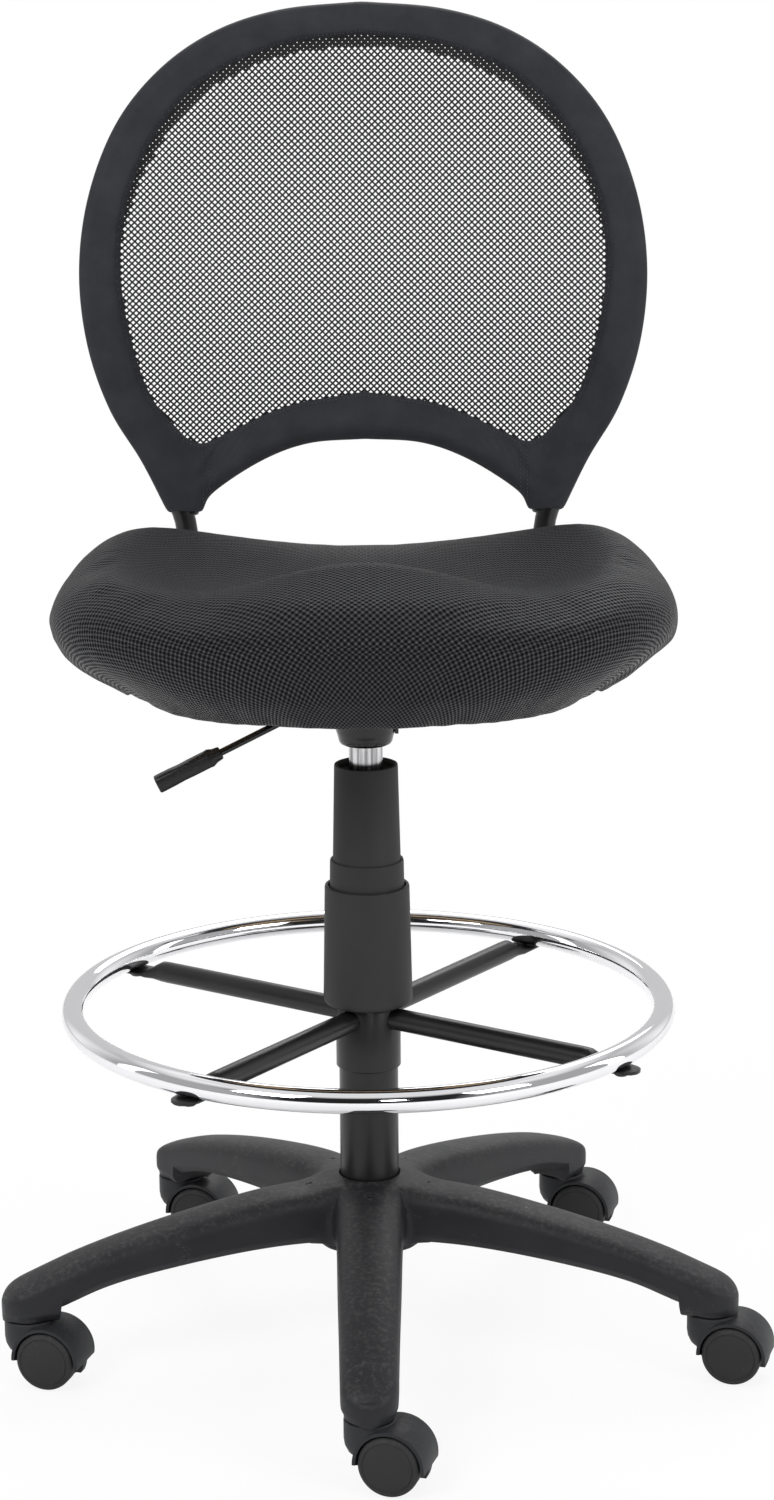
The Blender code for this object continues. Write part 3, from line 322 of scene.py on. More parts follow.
# ---------------------------------------------------------------- materials
def new_group(name, inputs, outputs):
    """An empty shader node group with named sockets."""
    group = bpy.data.node_groups.new(name, "ShaderNodeTree")
    for socket_name, kind, value in inputs:
        socket = group.interface.new_socket(name=socket_name, in_out="INPUT", socket_type=kind)
        socket.default_value = value
    for socket_name, kind in outputs:
        group.interface.new_socket(name=socket_name, in_out="OUTPUT", socket_type=kind)
    return group, group.nodes.new("NodeGroupInput"), group.nodes.new("NodeGroupOutput")


FLOAT = "NodeSocketFloat"
TURN = 2 * pi


def add(tree, kind, inputs=None, **settings):
    """A node with its settings and inputs; an input is a value or a socket to link from."""
    node = tree.nodes.new(kind)
    for key, value in settings.items():
        setattr(node, key, value)
    for key, value in (inputs or {}).items():
        if isinstance(value, bpy.types.NodeSocket):
            tree.links.new(value, node.inputs[key])
        else:
            node.inputs[key].default_value = value
    return node


def math(tree, operation, a, b=0.0, c=0.0):
    return add(tree, "ShaderNodeMath", {0: a, 1: b, 2: c}, operation=operation).outputs[0]


def times(tree, a, b):
    return math(tree, "MULTIPLY", a, b)


def place_on(tree):
    """The place on the piece, in metres."""
    return add(tree, "ShaderNodeTexCoord").outputs["Object"]


def stretched_place(tree, scale, rotation=(0.0, 0.0, 0.0)):
    return add(tree, "ShaderNodeMapping", {"Vector": place_on(tree), "Scale": scale, "Rotation": rotation}).outputs[0]


def clouds(tree, place, scale, detail, roughness, distortion=0.0):
    """Soft noise from 0 to 1."""
    return add(tree, "ShaderNodeTexNoise", {"Vector": place, "Scale": scale, "Detail": detail, "Roughness": roughness,
                                            "Distortion": distortion}).outputs["Fac"]


def remap(tree, value, low, high, to_low=0.0, to_high=1.0):
    """The range from low to high stretched to another range, and held there outside it."""
    return add(tree, "ShaderNodeMapRange", {"Value": value, "From Min": low, "From Max": high, "To Min": to_low,
                                            "To Max": to_high}).outputs[0]


def weave_place(group, pitch_x, pitch_y):
    """The weave_uv map's metres, counted in loops across and along."""
    split = add(group, "ShaderNodeSeparateXYZ", {0: add(group, "ShaderNodeUVMap", uv_map="weave_uv").outputs[0]})
    return math(group, "DIVIDE", split.outputs[0], pitch_x), math(group, "DIVIDE", split.outputs[1], pitch_y)


def put_out(group, outside, **values):
    for name, value in values.items():
        group.links.new(value, outside.inputs[name])
    return group


def grain_group():
    """Fine moulded grain: a height, and a slight change of tone and gloss over larger patches."""
    group, inside, outside = new_group("moulded_grain", [("Size", FLOAT, 1.0), ("Patches", FLOAT, 1.0)],
                                       [("Height", FLOAT), ("Tone", FLOAT)])
    place = place_on(group)
    fine_scale = times(group, inside.outputs["Size"], 1500.0)
    fine = clouds(group, place, fine_scale, 2.0, 0.6)
    cells = add(group, "ShaderNodeTexVoronoi", {"Vector": place, "Scale": fine_scale})
    height = math(group, "MULTIPLY_ADD", cells.outputs["Distance"], 0.45, fine)
    centred = math(group, "SUBTRACT", clouds(group, place, 16.0, 4.0, 0.62), 0.5)
    tone = math(group, "MULTIPLY_ADD", centred, inside.outputs["Patches"], 0.5)
    return put_out(group, outside, Height=height, Tone=tone)


def scuff_group():
    """Pale scuffs: short scratches inside a few loose patches."""
    group, inside, outside = new_group("scuffs", [("Amount", FLOAT, 0.5), ("Scale", FLOAT, 1.0)], [("Mask", FLOAT)])
    patch_scale = times(group, inside.outputs["Scale"], 26.0)
    patches = remap(group, clouds(group, place_on(group), patch_scale, 3.0, 0.7), 0.60, 0.74)
    stretched = stretched_place(group, (0.9, 1.0, 3.4), (0.2, 0.35, 0.3))
    line_scale = times(group, inside.outputs["Scale"], 420.0)
    lines = remap(group, clouds(group, stretched, line_scale, 2.0, 0.55, 0.6), 0.585, 0.70)
    return put_out(group, outside, Mask=times(group, times(group, patches, lines), inside.outputs["Amount"]))


def dust_group():
    """Thin dust that settles on faces that look up."""
    group, inside, outside = new_group("dust", [("Amount", FLOAT, 0.2)], [("Mask", FLOAT)])
    normal = add(group, "ShaderNodeNewGeometry").outputs["Normal"]
    facing = remap(group, add(group, "ShaderNodeSeparateXYZ", {0: normal}).outputs[2], 0.2, 1.0)
    specks = remap(group, clouds(group, place_on(group), 230.0, 3.0, 0.75), 0.48, 0.72)
    return put_out(group, outside, Mask=times(group, times(group, facing, specks), inside.outputs["Amount"]))


def diamond_knit_group():
    """A spacer knit's face: rows of small oval holes, each row set off by half, in the weave_uv map's metres; it also
    gives a mask for painted glints where the ribs cross.
    """
    group, inside, outside = new_group("diamond_knit", [("Pitch X", FLOAT, 0.0046), ("Pitch Y", FLOAT, 0.0042)],
                                       [("Height", FLOAT), ("Hole", FLOAT), ("Crossing", FLOAT)])
    u, v = weave_place(group, inside.outputs["Pitch X"], inside.outputs["Pitch Y"])
    wave_u = math(group, "COSINE", times(group, u, TURN))
    wave_v = math(group, "COSINE", times(group, v, TURN))
    rise = math(group, "MULTIPLY_ADD", times(group, wave_u, wave_v), 0.5, 0.5)
    hole = remap(group, rise, 0.48, 0.70)
    yarn_u = math(group, "SINE", times(group, math(group, "ADD", u, v), TURN * 4))
    yarn_v = math(group, "SINE", times(group, math(group, "SUBTRACT", u, v), TURN * 4))
    yarn = times(group, math(group, "ADD", yarn_u, yarn_v), 0.05)
    height = math(group, "SUBTRACT", math(group, "ADD", 1.0, yarn), hole)
    # the last output marks the rib crossings between the holes, where painted glints are put in the colour
    return put_out(group, outside, Height=height, Hole=hole, Crossing=remap(group, rise, 0.20, 0.02))


def fine_knit_group():
    """A fine jersey: tiny rows of loops across the weave_uv map's metres."""
    group, inside, outside = new_group("fine_knit", [("Pitch", FLOAT, 0.0011)], [("Height", FLOAT), ("Tone", FLOAT)])
    u, v = weave_place(group, inside.outputs["Pitch"], inside.outputs["Pitch"])
    zigzag = math(group, "PINGPONG", u, 0.5)
    row = math(group, "SINE", times(group, math(group, "ADD", v, zigzag), TURN))
    column = math(group, "COSINE", times(group, u, TURN))
    height = math(group, "MULTIPLY_ADD", column, 0.5, times(group, row, 0.5))
    return put_out(group, outside, Height=height, Tone=clouds(group, place_on(group), 34.0, 5.0, 0.65))


GRAIN = grain_group()
SCUFFS = scuff_group()
DUST = dust_group()
DIAMOND_KNIT = diamond_knit_group()
FINE_KNIT = fine_knit_group()


def finish(name, color, roughness, metallic=0.0, **sockets):
    """A material with its Principled shader set; returns it with its tree and shader."""
    material = bpy.data.materials.new(name)
    material.use_nodes = True
    tree = material.node_tree
    shader = tree.nodes["Principled BSDF"]
    shader.inputs["Base Color"].default_value = (*color, 1.0)
    shader.inputs["Roughness"].default_value = roughness
    shader.inputs["Metallic"].default_value = metallic
    for key, value in sockets.items():
        shader.inputs[key.replace("_", " ")].default_value = value
    material.diffuse_color = (*color, 1.0)
    return material, tree, shader


def use_group(tree, group, **inputs):
    node = tree.nodes.new("ShaderNodeGroup")
    node.node_tree = group
    for key, value in inputs.items():
        node.inputs[key.replace("_", " ")].default_value = value
    return node


def bump(tree, shader, height, distance, strength=1.0):
    node = add(tree, "ShaderNodeBump", {"Height": height, "Distance": distance, "Strength": strength})
    tree.links.new(node.outputs[0], shader.inputs["Normal"])


def mix(tree, amount, a, b):
    node = add(tree, "ShaderNodeMix", data_type="RGBA")
    for socket, value in ((node.inputs[0], amount), (node.inputs[6], a), (node.inputs[7], b)):
        if isinstance(value, bpy.types.NodeSocket):
            tree.links.new(value, socket)
        else:
            socket.default_value = value if isinstance(value, float) else (*value, 1.0)
    return node.outputs[2]


def moulded(name, dark, light, roughness, grain_size, grain_depth, patches, scuffs, dust, spread=0.10):
    """A moulded plastic: grain, patches of tone and gloss, scuffs and a little dust."""
    material, tree, shader = finish(name, light, roughness, Specular_IOR_Level=0.30)
    grain = use_group(tree, GRAIN, Size=grain_size, Patches=patches)
    color = mix(tree, grain.outputs["Tone"], dark, light)
    if scuffs:
        marks = use_group(tree, SCUFFS, Amount=scuffs)
        color = mix(tree, marks.outputs["Mask"], color, (0.30, 0.30, 0.29))
    if dust:
        settled = use_group(tree, DUST, Amount=dust)
        color = mix(tree, settled.outputs["Mask"], color, (0.22, 0.21, 0.20))
    tree.links.new(color, shader.inputs["Base Color"])
    gloss = remap(tree, grain.outputs["Tone"], 0.2, 0.8, roughness - spread / 2, roughness + spread / 2)
    tree.links.new(gloss, shader.inputs["Roughness"])
    bump(tree, shader, grain.outputs["Height"], grain_depth)
    return material


def coated_steel(name, dark, light, roughness, metallic):
    """Powder-coated steel: a faint orange peel and a little change of gloss."""
    material, tree, shader = finish(name, light, roughness, metallic)
    grain = use_group(tree, GRAIN, Size=0.35, Patches=0.8)
    tree.links.new(mix(tree, grain.outputs["Tone"], dark, light), shader.inputs["Base Color"])
    gloss = remap(tree, grain.outputs["Tone"], 0.2, 0.8, roughness - 0.05, roughness + 0.06)
    tree.links.new(gloss, shader.inputs["Roughness"])
    bump(tree, shader, grain.outputs["Height"], 0.00004)
    return material


def plated(name, color, roughness):
    """Bright plating with a trace of handling marks in its gloss."""
    material, tree, shader = finish(name, color, roughness, 1.0)
    marks = clouds(tree, place_on(tree), 42.0, 5.0, 0.7)
    tree.links.new(remap(tree, marks, 0.35, 0.75, roughness * 0.7, roughness * 1.6), shader.inputs["Roughness"])
    return material


def drawn_steel():
    """Ground steel with long streaks along the rod."""
    material, tree, shader = finish("piston_steel", (0.55, 0.55, 0.56), 0.24, 1.0)
    streaks = clouds(tree, stretched_place(tree, (1.0, 1.0, 0.02)), 260.0, 3.0, 0.7)
    shade = remap(tree, streaks, 0.38, 0.62)
    tree.links.new(mix(tree, shade, (0.22, 0.22, 0.23), (0.80, 0.80, 0.81)), shader.inputs["Base Color"])
    tree.links.new(remap(tree, streaks, 0.0, 1.0, 0.14, 0.34), shader.inputs["Roughness"])
    return material


def seat_knit():
    """Black spacer knit over foam: its holes are painted near black as shade and are duller than its ribs; the rib
    crossings carry painted glints.
    """
    material, tree, shader = finish("seat_knit", (0.024, 0.024, 0.029), 0.45, Specular_IOR_Level=0.22)
    knit = use_group(tree, DIAMOND_KNIT, Pitch_X=0.0058, Pitch_Y=0.0056)
    # rib colour, with painted shade filling the holes
    ribs = mix(tree, knit.outputs["Hole"], (0.017, 0.017, 0.021), (0.0010, 0.0010, 0.0014))
    # painted glints: pale specks at the rib crossings
    tree.links.new(mix(tree, knit.outputs["Crossing"], ribs, (0.092, 0.092, 0.102)), shader.inputs["Base Color"])
    tree.links.new(remap(tree, knit.outputs["Hole"], 0.0, 1.0, 0.36, 1.0), shader.inputs["Roughness"])
    bump(tree, shader, knit.outputs["Height"], 0.0011)
    return material


def border_knit():
    """The charcoal jersey of the back's border."""
    material, tree, shader = finish("border_knit", (0.030, 0.031, 0.036), 0.80, Specular_IOR_Level=0.25)
    knit = use_group(tree, FINE_KNIT, Pitch=0.0011)
    tree.links.new(mix(tree, knit.outputs["Tone"], (0.016, 0.017, 0.020), (0.046, 0.047, 0.056)),
                   shader.inputs["Base Color"])
    bump(tree, shader, knit.outputs["Height"], 0.00012, 0.6)
    return material


def plywood():
    """Plain plywood with a long soft grain."""
    material, tree, shader = finish("plywood", (0.42, 0.30, 0.18), 0.7)
    rings = clouds(tree, stretched_place(tree, (3.0, 60.0, 60.0)), 2.0, 6.0, 0.5, 0.4)
    tree.links.new(mix(tree, rings, (0.33, 0.22, 0.12), (0.52, 0.39, 0.25)), shader.inputs["Base Color"])
    bump(tree, shader, rings, 0.0002)
    return material


# name, dark and light tone, roughness, grain size and depth, patches, scuffs, dust
BASE_NYLON = moulded("base_nylon", (0.010, 0.0102, 0.0120), (0.021, 0.0214, 0.0250), 0.50, 1.0, 0.00012, 1.4, 0.55,
                     0.20)
CASTER_NYLON = moulded("caster_nylon", (0.014, 0.0145, 0.017), (0.023, 0.024, 0.027), 0.50, 1.2, 0.00008, 1.2, 0.15,
                       0.12)
WHEEL_NYLON = moulded("wheel_nylon", (0.018, 0.018, 0.019), (0.030, 0.030, 0.031), 0.62, 1.3, 0.00008, 1.8, 0.30, 0.15)
COVER_PLASTIC = moulded("cover_plastic", (0.022, 0.022, 0.022), (0.032, 0.032, 0.032), 0.58, 1.1, 0.00006, 1.0, 0.0,
                        0.08)
GRIP_PLASTIC = moulded("grip_plastic", (0.010, 0.010, 0.011), (0.016, 0.016, 0.017), 0.32, 0.6, 0.00004, 1.0, 0.2,
                       0.05)
BEARING_PLASTIC = moulded("bearing_plastic", (0.66, 0.65, 0.61), (0.76, 0.75, 0.71), 0.45, 1.0, 0.00003, 1.0, 0.0, 0.0)
COATED_BLACK = coated_steel("coated_black", (0.008, 0.008, 0.009), (0.014, 0.014, 0.015), 0.33, 0.25)
COATED_GLOSS = coated_steel("coated_gloss", (0.003, 0.003, 0.0035), (0.006, 0.006, 0.0065), 0.14, 0.10)
CHROME = plated("ring_chrome", (0.86, 0.86, 0.88), 0.045)
PISTON_STEEL = drawn_steel()
ZINC = plated("bright_zinc", (0.58, 0.59, 0.61), 0.30)
SEAT_KNIT = seat_knit()
BORDER_KNIT = border_knit()
NET_YARN = finish("net_yarn", (0.010, 0.010, 0.011), 0.60, Specular_IOR_Level=0.25)[0]
STITCH_THREAD = finish("stitch_thread", (0.055, 0.057, 0.062), 0.75)[0]
PLYWOOD = plywood()


def dress(piece, material, slot, body, *replaced):
    """Give a piece its material and its body, and hide the CAD nodes it stands for. The slot argument is not used."""
    piece.data.materials.clear()
    piece.data.materials.append(material)
    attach(piece, body)
    if replaced:
        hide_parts(*replaced)
    return piece


def repaint(node_name, material):
    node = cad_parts[node_name]
    for slot_index in range(len(node.data.materials)):
        node.material_slots[slot_index].material = material


# ---------------------------------------------------------------- five-arm base
ARM_TOP = [(0.030, 0.1462), (0.044, 0.1440), (0.058, 0.1418), (0.090, 0.1400), (0.118, 0.1358), (0.169, 0.1262),
           (0.213, 0.1163), (0.258, 0.1040), (0.290, 0.0924), (0.306, 0.0855), (0.3150, 0.0795), (0.3205, 0.0710)]
ARM_UNDER = [(0.044, 0.0975), (0.100, 0.0978), (0.168, 0.0918), (0.234, 0.0812), (0.274, 0.0678), (0.300, 0.0650)]
ARM_HALF = [(0.044, 0.0305), (0.052, 0.0288), (0.090, 0.0274), (0.168, 0.0260), (0.230, 0.0244), (0.274, 0.0234),
            (0.2983, 0.0228)]
ARM_WALL = 0.0070
ARM_ROOF = 0.0060       # wall over the channel below an arm
SKIN = 0.0006           # step where the underside is closed
ARM_TIP_SKIRT = 0.0650
TIP_FOOT = 0.0567
TIP_R = 0.0224
JUNCTION_R = 0.0515
SECTOR = radians(36.0)


def arm_section(x, half, top, under, roof, lip):
    """One ring of an arm, from the middle of its top round one side to the middle of its underside and back."""
    wall_foot = min(max(curve_at(ARM_UNDER, x), ARM_TIP_SKIRT), under + 0.0400)
    soft = min(0.016, (top - wall_foot) * 0.42)
    middle = (top - soft + wall_foot) / 2
    foot = min(0.0044, half * 0.18)
    side = [(0.0, top), (half * 0.40, top - soft * 0.05), (half * 0.74, top - soft * 0.22),
            (half * 0.95, top - soft * 0.56), (half, top - soft * 1.08), (half, middle - 0.002),
            (half - 0.0001, under + 0.0074), (half - 0.0007, under + 0.0060), (half - foot, under + 0.0006),
            (half - foot - 0.0010, under), (half - lip, under + 0.0002),
            (half - lip - 0.0008, roof - 0.0030), (half - lip - 0.0050, roof), (0.0, roof)]
    ring = [(x, y, z) for y, z in side]
    ring += [(x, -y, z) for y, z in reversed(side[1:-1])]
    return ring


def base_star_piece():
    """Five channel-shaped arms that run together round the column's hub."""
    stations = []
    for x in (0.0575, 0.0640, 0.0655, 0.085, 0.115, 0.150, 0.185, 0.215, 0.240, 0.258, 0.2600, 0.2700):
        hollow = 0.0650 < x < 0.2590
        under = curve_at(ARM_UNDER, x)
        half = curve_at(ARM_HALF, x)
        roof = curve_at(ARM_TOP, x) - ARM_ROOF if hollow else under + SKIN
        stations.append(arm_section(x, half, curve_at(ARM_TOP, x), under, roof, ARM_WALL))
    for x in (0.2745, 0.2752):
        low = curve_at(ARM_UNDER, x)
        stations.append(arm_section(x, curve_at(ARM_HALF, x), curve_at(ARM_TOP, x), low, low + SKIN, ARM_WALL))
    for x in (0.2760, 0.2766, 0.2830, 0.2910, 0.2983):
        stations.append(arm_section(x, curve_at(ARM_HALF, x), curve_at(ARM_TOP, x), TIP_FOOT, TIP_FOOT + SKIN,
                                    ARM_WALL))
    for degrees_round in (17.0, 34.0, 52.0, 68.0, 80.0):
        x = STEM_CIRCLE_R + TIP_R * sin(radians(degrees_round))
        half = TIP_R * cos(radians(degrees_round)) + 0.0006
        lip = min(ARM_WALL, half * 0.40)
        stations.append(arm_section(x, half, curve_at(ARM_TOP, x), TIP_FOOT, TIP_FOOT + SKIN, lip))
    # the junction ring bends round the hub so that its sides meet the next arms
    junction = []
    spread = JUNCTION_R * sin(SECTOR)
    section = arm_section(JUNCTION_R, spread, 0.1432, 0.0962, 0.0962 + SKIN, ARM_WALL)
    for index, (_, y, z) in enumerate(section):
        if 4 <= min(index, len(section) - index) <= 9:
            y = spread if y > 0.0 else -spread
        swing = y / spread * SECTOR
        reach = JUNCTION_R - 0.0005 * abs(sin(swing * 2))
        junction.append((reach * cos(swing), reach * sin(swing), z))
    stations.insert(0, junction)
    points = [point for ring in stations for point in ring]
    size = len(stations[0])
    faces = ring_strips(len(stations), size)
    last = (len(stations) - 1) * size
    half_size = size // 2
    for i in range(half_size - 1):
        faces.append((last + i, last + i + 1, last + size - 1 - i, last + (size - i) % size))
    # the hub's top: rings of points that run in to the bore; its floor: rings that run in under the drum
    top_chain = [*range(size - 4, size), 0, 1, 2, 3, 4]
    under_chain = list(range(9, size - 8))

    def run_in(chain, rings, flip):
        previous = chain
        for radius, height in rings:
            fresh = []
            for index in chain:
                _, y, _ = junction[index]
                swing = atan2(y, junction[index][0])
                fresh.append(len(points))
                points.append((radius * cos(swing), radius * sin(swing), height))
            for k in range(len(chain) - 1):
                face = (previous[k], previous[k + 1], fresh[k + 1], fresh[k])
                faces.append(tuple(reversed(face)) if flip else face)
            previous = fresh

    run_in(top_chain, [(0.0440, 0.1438), (0.0360, 0.1452), (0.0290, 0.1466), (0.0264, 0.1470), (0.0255, 0.1462),
                       (0.0254, 0.1300)], False)
    run_in(under_chain, [(0.0484, 0.0948), (0.0478, 0.0900), (0.0462, 0.0884), (0.0300, 0.0882), (0.0258, 0.0884),
                         (0.0254, 0.0900), (0.0254, 0.1100)], False)
    arm = mesh_piece("base_star_detail", points, faces)
    copies = []
    for index in range(ARM_COUNT):
        copies.append(copy_of(arm, f"arm_{index}", Matrix.Rotation(arm_azimuth(index), 4, "Z")))
    drop(arm)
    keep_only(copies[0])
    for other in copies[1:]:
        other.select_set(True)
    bpy.ops.object.join()
    star = bpy.context.object
    star.name = star.data.name = "base_star_detail"
    clean(star, 0.0002)
    rounded(star, 2)
    return soften(star, 45.0)


star = about_column(base_star_piece())
dress(star, BASE_NYLON, "nylon_black", "base", "base_star")

# the bosses that hold the caster stems, inside the arms' tips
boss_model = lathe("boss_model", [(0.0060, 0.0568), (0.0196, 0.0568), (0.0202, 0.0576), (0.0202, 0.0760),
                                  (0.0060, 0.0760)], 48)
soften(boss_model, 40.0)
STEM_PLACES = [AXIS + STEM_CIRCLE_R * Vector((cos(arm_azimuth(index)), sin(arm_azimuth(index)), 0.0))
               for index in range(ARM_COUNT)]
for number, place in enumerate(STEM_PLACES, start=1):
    boss = copy_of(boss_model, f"base_boss_{number}", Matrix.Translation(place))
    dress(boss, BASE_NYLON, "nylon_black", "base")
drop(boss_model)


# ---------------------------------------------------------------- casters
def cylinder_tool(radius, z_low, z_high, matrix=None, segments=72):
    deselect()
    bpy.ops.mesh.primitive_cylinder_add(vertices=segments, radius=radius, depth=z_high - z_low,
                                        location=(0.0, 0.0, (z_low + z_high) / 2))
    tool = settle(bpy.context.object)
    if matrix is not None:
        tool.data.transform(matrix)
    return tool


def box_tool(low, high):
    middle = [(a + b) / 2 for a, b in zip(low, high)]
    deselect()
    bpy.ops.mesh.primitive_cube_add(size=1.0, location=middle)
    tool = bpy.context.object
    tool.scale = [b - a for a, b in zip(low, high)]
    return settle(tool)


AXLE = (CASTER_TRAIL, 0.0, WHEEL_R)
HOOD_R = 0.0290
HOOD_HALF_WIDTH = 0.0206
POCKET_R = 0.0262
HOOD_WEB = 0.0042


def hood_model():
    """A caster's body: the round neck over the stem, and the hood over both wheels."""
    neck = lathe("hood_model", [(0.0, 0.0236), (0.0085, 0.0236), (0.0130, 0.0254), (0.0172, 0.0296), (0.0196, 0.0346),
                                (0.0204, 0.0400), (0.0204, 0.0545), (0.0196, 0.0554), (0.0, 0.0554)], 72)
    hood = cylinder_tool(HOOD_R, -HOOD_HALF_WIDTH, HOOD_HALF_WIDTH, turned(AXLE, 90.0), 96)
    cut(neck, hood, "UNION")
    cut(neck, box_tool((-0.040, -0.040, -0.010), (0.080, 0.040, 0.0122)))
    for side in (1.0, -1.0):
        cut(neck, cylinder_tool(POCKET_R, HOOD_WEB, HOOD_WEB + 0.030, turned(AXLE, -90.0 * side), 96))
        low_y, high_y = sorted((side * HOOD_WEB, side * 0.040))
        cut(neck, box_tool((-0.040, low_y, -0.010), (CASTER_TRAIL + 0.0270, high_y, 0.0236)))
        cut(neck, box_tool((CASTER_TRAIL + 0.0269, low_y, -0.010), (0.080, high_y, 0.0206)))
    clean(neck, 0.00003)
    bevelled(neck, 0.0007, 2, 30.0)
    return soften(neck, 40.0)


def wheel_model():
    """One wheel of a pair: a tread with rounded shoulders and a slightly domed cover disc."""
    profile = [(0.0033, 0.0048), (0.0215, 0.0048), (0.0240, 0.0056), (0.0248, 0.0072), (0.0248, 0.0176),
               (0.0245, 0.0192), (0.0237, 0.0206), (0.0224, 0.0217), (0.0208, 0.0223), (0.0204, 0.0219),
               (0.0199, 0.0219), (0.0195, 0.0224), (0.0150, 0.0233), (0.0080, 0.0238), (0.0, 0.0239)]
    return soften(lathe("wheel_model", profile, 72), 40.0)


hood_shape = hood_model()
wheel_shape = wheel_model()
for number, place in enumerate(STEM_PLACES, start=1):
    swivel = turned(place, CASTER_AZIMUTH, "Z")
    hood = copy_of(hood_shape, f"caster_hood_{number}", swivel)
    dress(hood, CASTER_NYLON, "nylon_black", f"caster_{number}", f"caster_housing_{number}")
    for side, sign in (("left", 1.0), ("right", -1.0)):
        wheel = copy_of(wheel_shape, f"wheel_{side}_{number}", swivel @ turned(AXLE, -90.0 * sign))
        dress(wheel, WHEEL_NYLON, "tread_black", f"wheels_{number}", f"caster_wheel_{side}_{number}")
    repaint(f"caster_axle_{number}", ZINC)
    repaint(f"caster_stem_{number}", ZINC)
drop(hood_shape, wheel_shape)


# ---------------------------------------------------------------- column and telescopic cover
def column_piece(name, profile, material, slot, body, *replaced, segments=96, angle=30.0):
    piece = lathe(name, profile, segments)
    soften(piece, angle)
    about_column(piece)
    return dress(piece, material, slot, body, *replaced)


column_piece("column_outer", [(0.0228, 0.0950), (0.0228, 0.4960), (0.0238, 0.4962), (0.0248, 0.4950), (0.0248, 0.0930),
                              (0.0240, 0.0921), (0.0075, 0.0921), (0.0075, 0.0950)],
             COATED_BLACK, "steel_black", "base", "column_tube")
column_piece("lift_piston", [(0.0, 0.1250), (0.0134, 0.1250), (0.0140, 0.1256), (0.0140, 0.5165), (0.0120, 0.5525),
                             (0.0040, 0.5528), (0.0036, 0.5528), (0.0036, 0.5330), (0.0, 0.5330)],
             PISTON_STEEL, "chrome", "lift", "pressure_cylinder")
column_piece("cover_top_tube", [(0.02515, 0.4990), (0.02515, 0.4985), (0.02545, 0.4170), (0.02860, 0.4170),
                                (0.02885, 0.4174), (0.02885, 0.4198), (0.02830, 0.4208), (0.02645, 0.5022),
                                (0.02610, 0.5034), (0.02540, 0.5037), (0.02420, 0.5033), (0.02380, 0.5020),
                                (0.02360, 0.4992), (0.01500, 0.4990), (0.01500, 0.4980), (0.02450, 0.4978)],
             COVER_PLASTIC, "plastic_charcoal", "base", "cover_upper")
column_piece("cover_middle_tube", [(0.03080, 0.3270), (0.03280, 0.3270), (0.03310, 0.3275), (0.03310, 0.3298),
                                   (0.03225, 0.3306), (0.03075, 0.4208), (0.03040, 0.4220), (0.02975, 0.4224),
                                   (0.02880, 0.4222), (0.02865, 0.4212), (0.02930, 0.4200), (0.03065, 0.3290)],
             COVER_PLASTIC, "plastic_charcoal", "base", "cover_middle")
column_piece("cover_lower_tube", [(0.03300, 0.2990), (0.03530, 0.2990), (0.03600, 0.2993), (0.03690, 0.3004),
                                  (0.03735, 0.3024), (0.03735, 0.3040), (0.03540, 0.3984), (0.03500, 0.3999),
                                  (0.03420, 0.4004), (0.03270, 0.4003), (0.03245, 0.3990), (0.03330, 0.3975),
                                  (0.03515, 0.3030), (0.03300, 0.3010)],
             COVER_PLASTIC, "plastic_charcoal", "foot_ring", "cover_lower")


# ---------------------------------------------------------------- foot ring
def foot_ring_hoop_piece():
    deselect()
    bpy.ops.mesh.primitive_torus_add(major_radius=RING_R, minor_radius=RING_TUBE_R, major_segments=192,
                                     minor_segments=32, location=(AXIS_X, AXIS_Y, RING_Z))
    hoop = settle(bpy.context.object, "foot_ring_tube")
    return soften(hoop, 60.0)


TAB_THICK = 0.0034
TAB_TOP = RING_Z - RING_TUBE_R - 0.0003
KNOB_Z = 0.2587


def spoke_model():
    """A spoke: a round tube pressed flat at its outer end into a tab."""
    tab_z = TAB_TOP - TAB_THICK / 2
    tube = [(0.0255, 0.0092, 0.0092, SPOKE_Z), (0.030, 0.0092, 0.0092, SPOKE_Z), (0.212, 0.0092, 0.0092, SPOKE_Z),
            (0.218, 0.0093, 0.0089, SPOKE_Z - 0.0001), (0.2245, 0.0102, 0.0064, SPOKE_Z - 0.0012)]
    tab = [(0.2305, 0.0116, 0.0034, tab_z + 0.0003), (0.2355, 0.0124, 0.0019, tab_z), (0.242, 0.0126, 0.0017, tab_z),
           (0.250, 0.0125, 0.0017, tab_z), (0.256, 0.0112, 0.0017, tab_z), (0.2605, 0.0080, 0.0017, tab_z),
           (0.2626, 0.0040, 0.0016, tab_z)]
    stations = [(*station, 1.0) for station in tube] + [(*station, SQUARED) for station in tab]
    return soften(oval_loft("spoke_model", stations, 32), 40.0)


dress(foot_ring_hoop_piece(), CHROME, "chrome", "foot_ring", "foot_ring_hoop")
sleeve = lathe("foot_ring_sleeve", [(0.0254, 0.2440), (0.0258, 0.2430), (0.0266, 0.2427), (0.0272, 0.2434),
                                    (0.0272, 0.2974), (0.0266, 0.2982), (0.0258, 0.2980), (0.0254, 0.2972)], 96)
cut(sleeve, cylinder_tool(0.0034, 0.0, 0.040, turned((0.0, 0.0, KNOB_Z), -90.0), 32))
soften(sleeve, 40.0)
dress(about_column(sleeve), COATED_BLACK, "steel_black", "foot_ring", "foot_ring_spider")
spoke_shape = spoke_model()
screw_shape = lathe("screw_model", [(0.0, 0.0120), (0.0020, 0.0120), (0.0020, -0.0004), (0.0062, -0.0004),
                                    (0.0066, -0.0010), (0.0062, -0.0024), (0.0048, -0.0036), (0.0026, -0.0042),
                                    (0.0, -0.0043)], 32)
soften(screw_shape, 40.0)
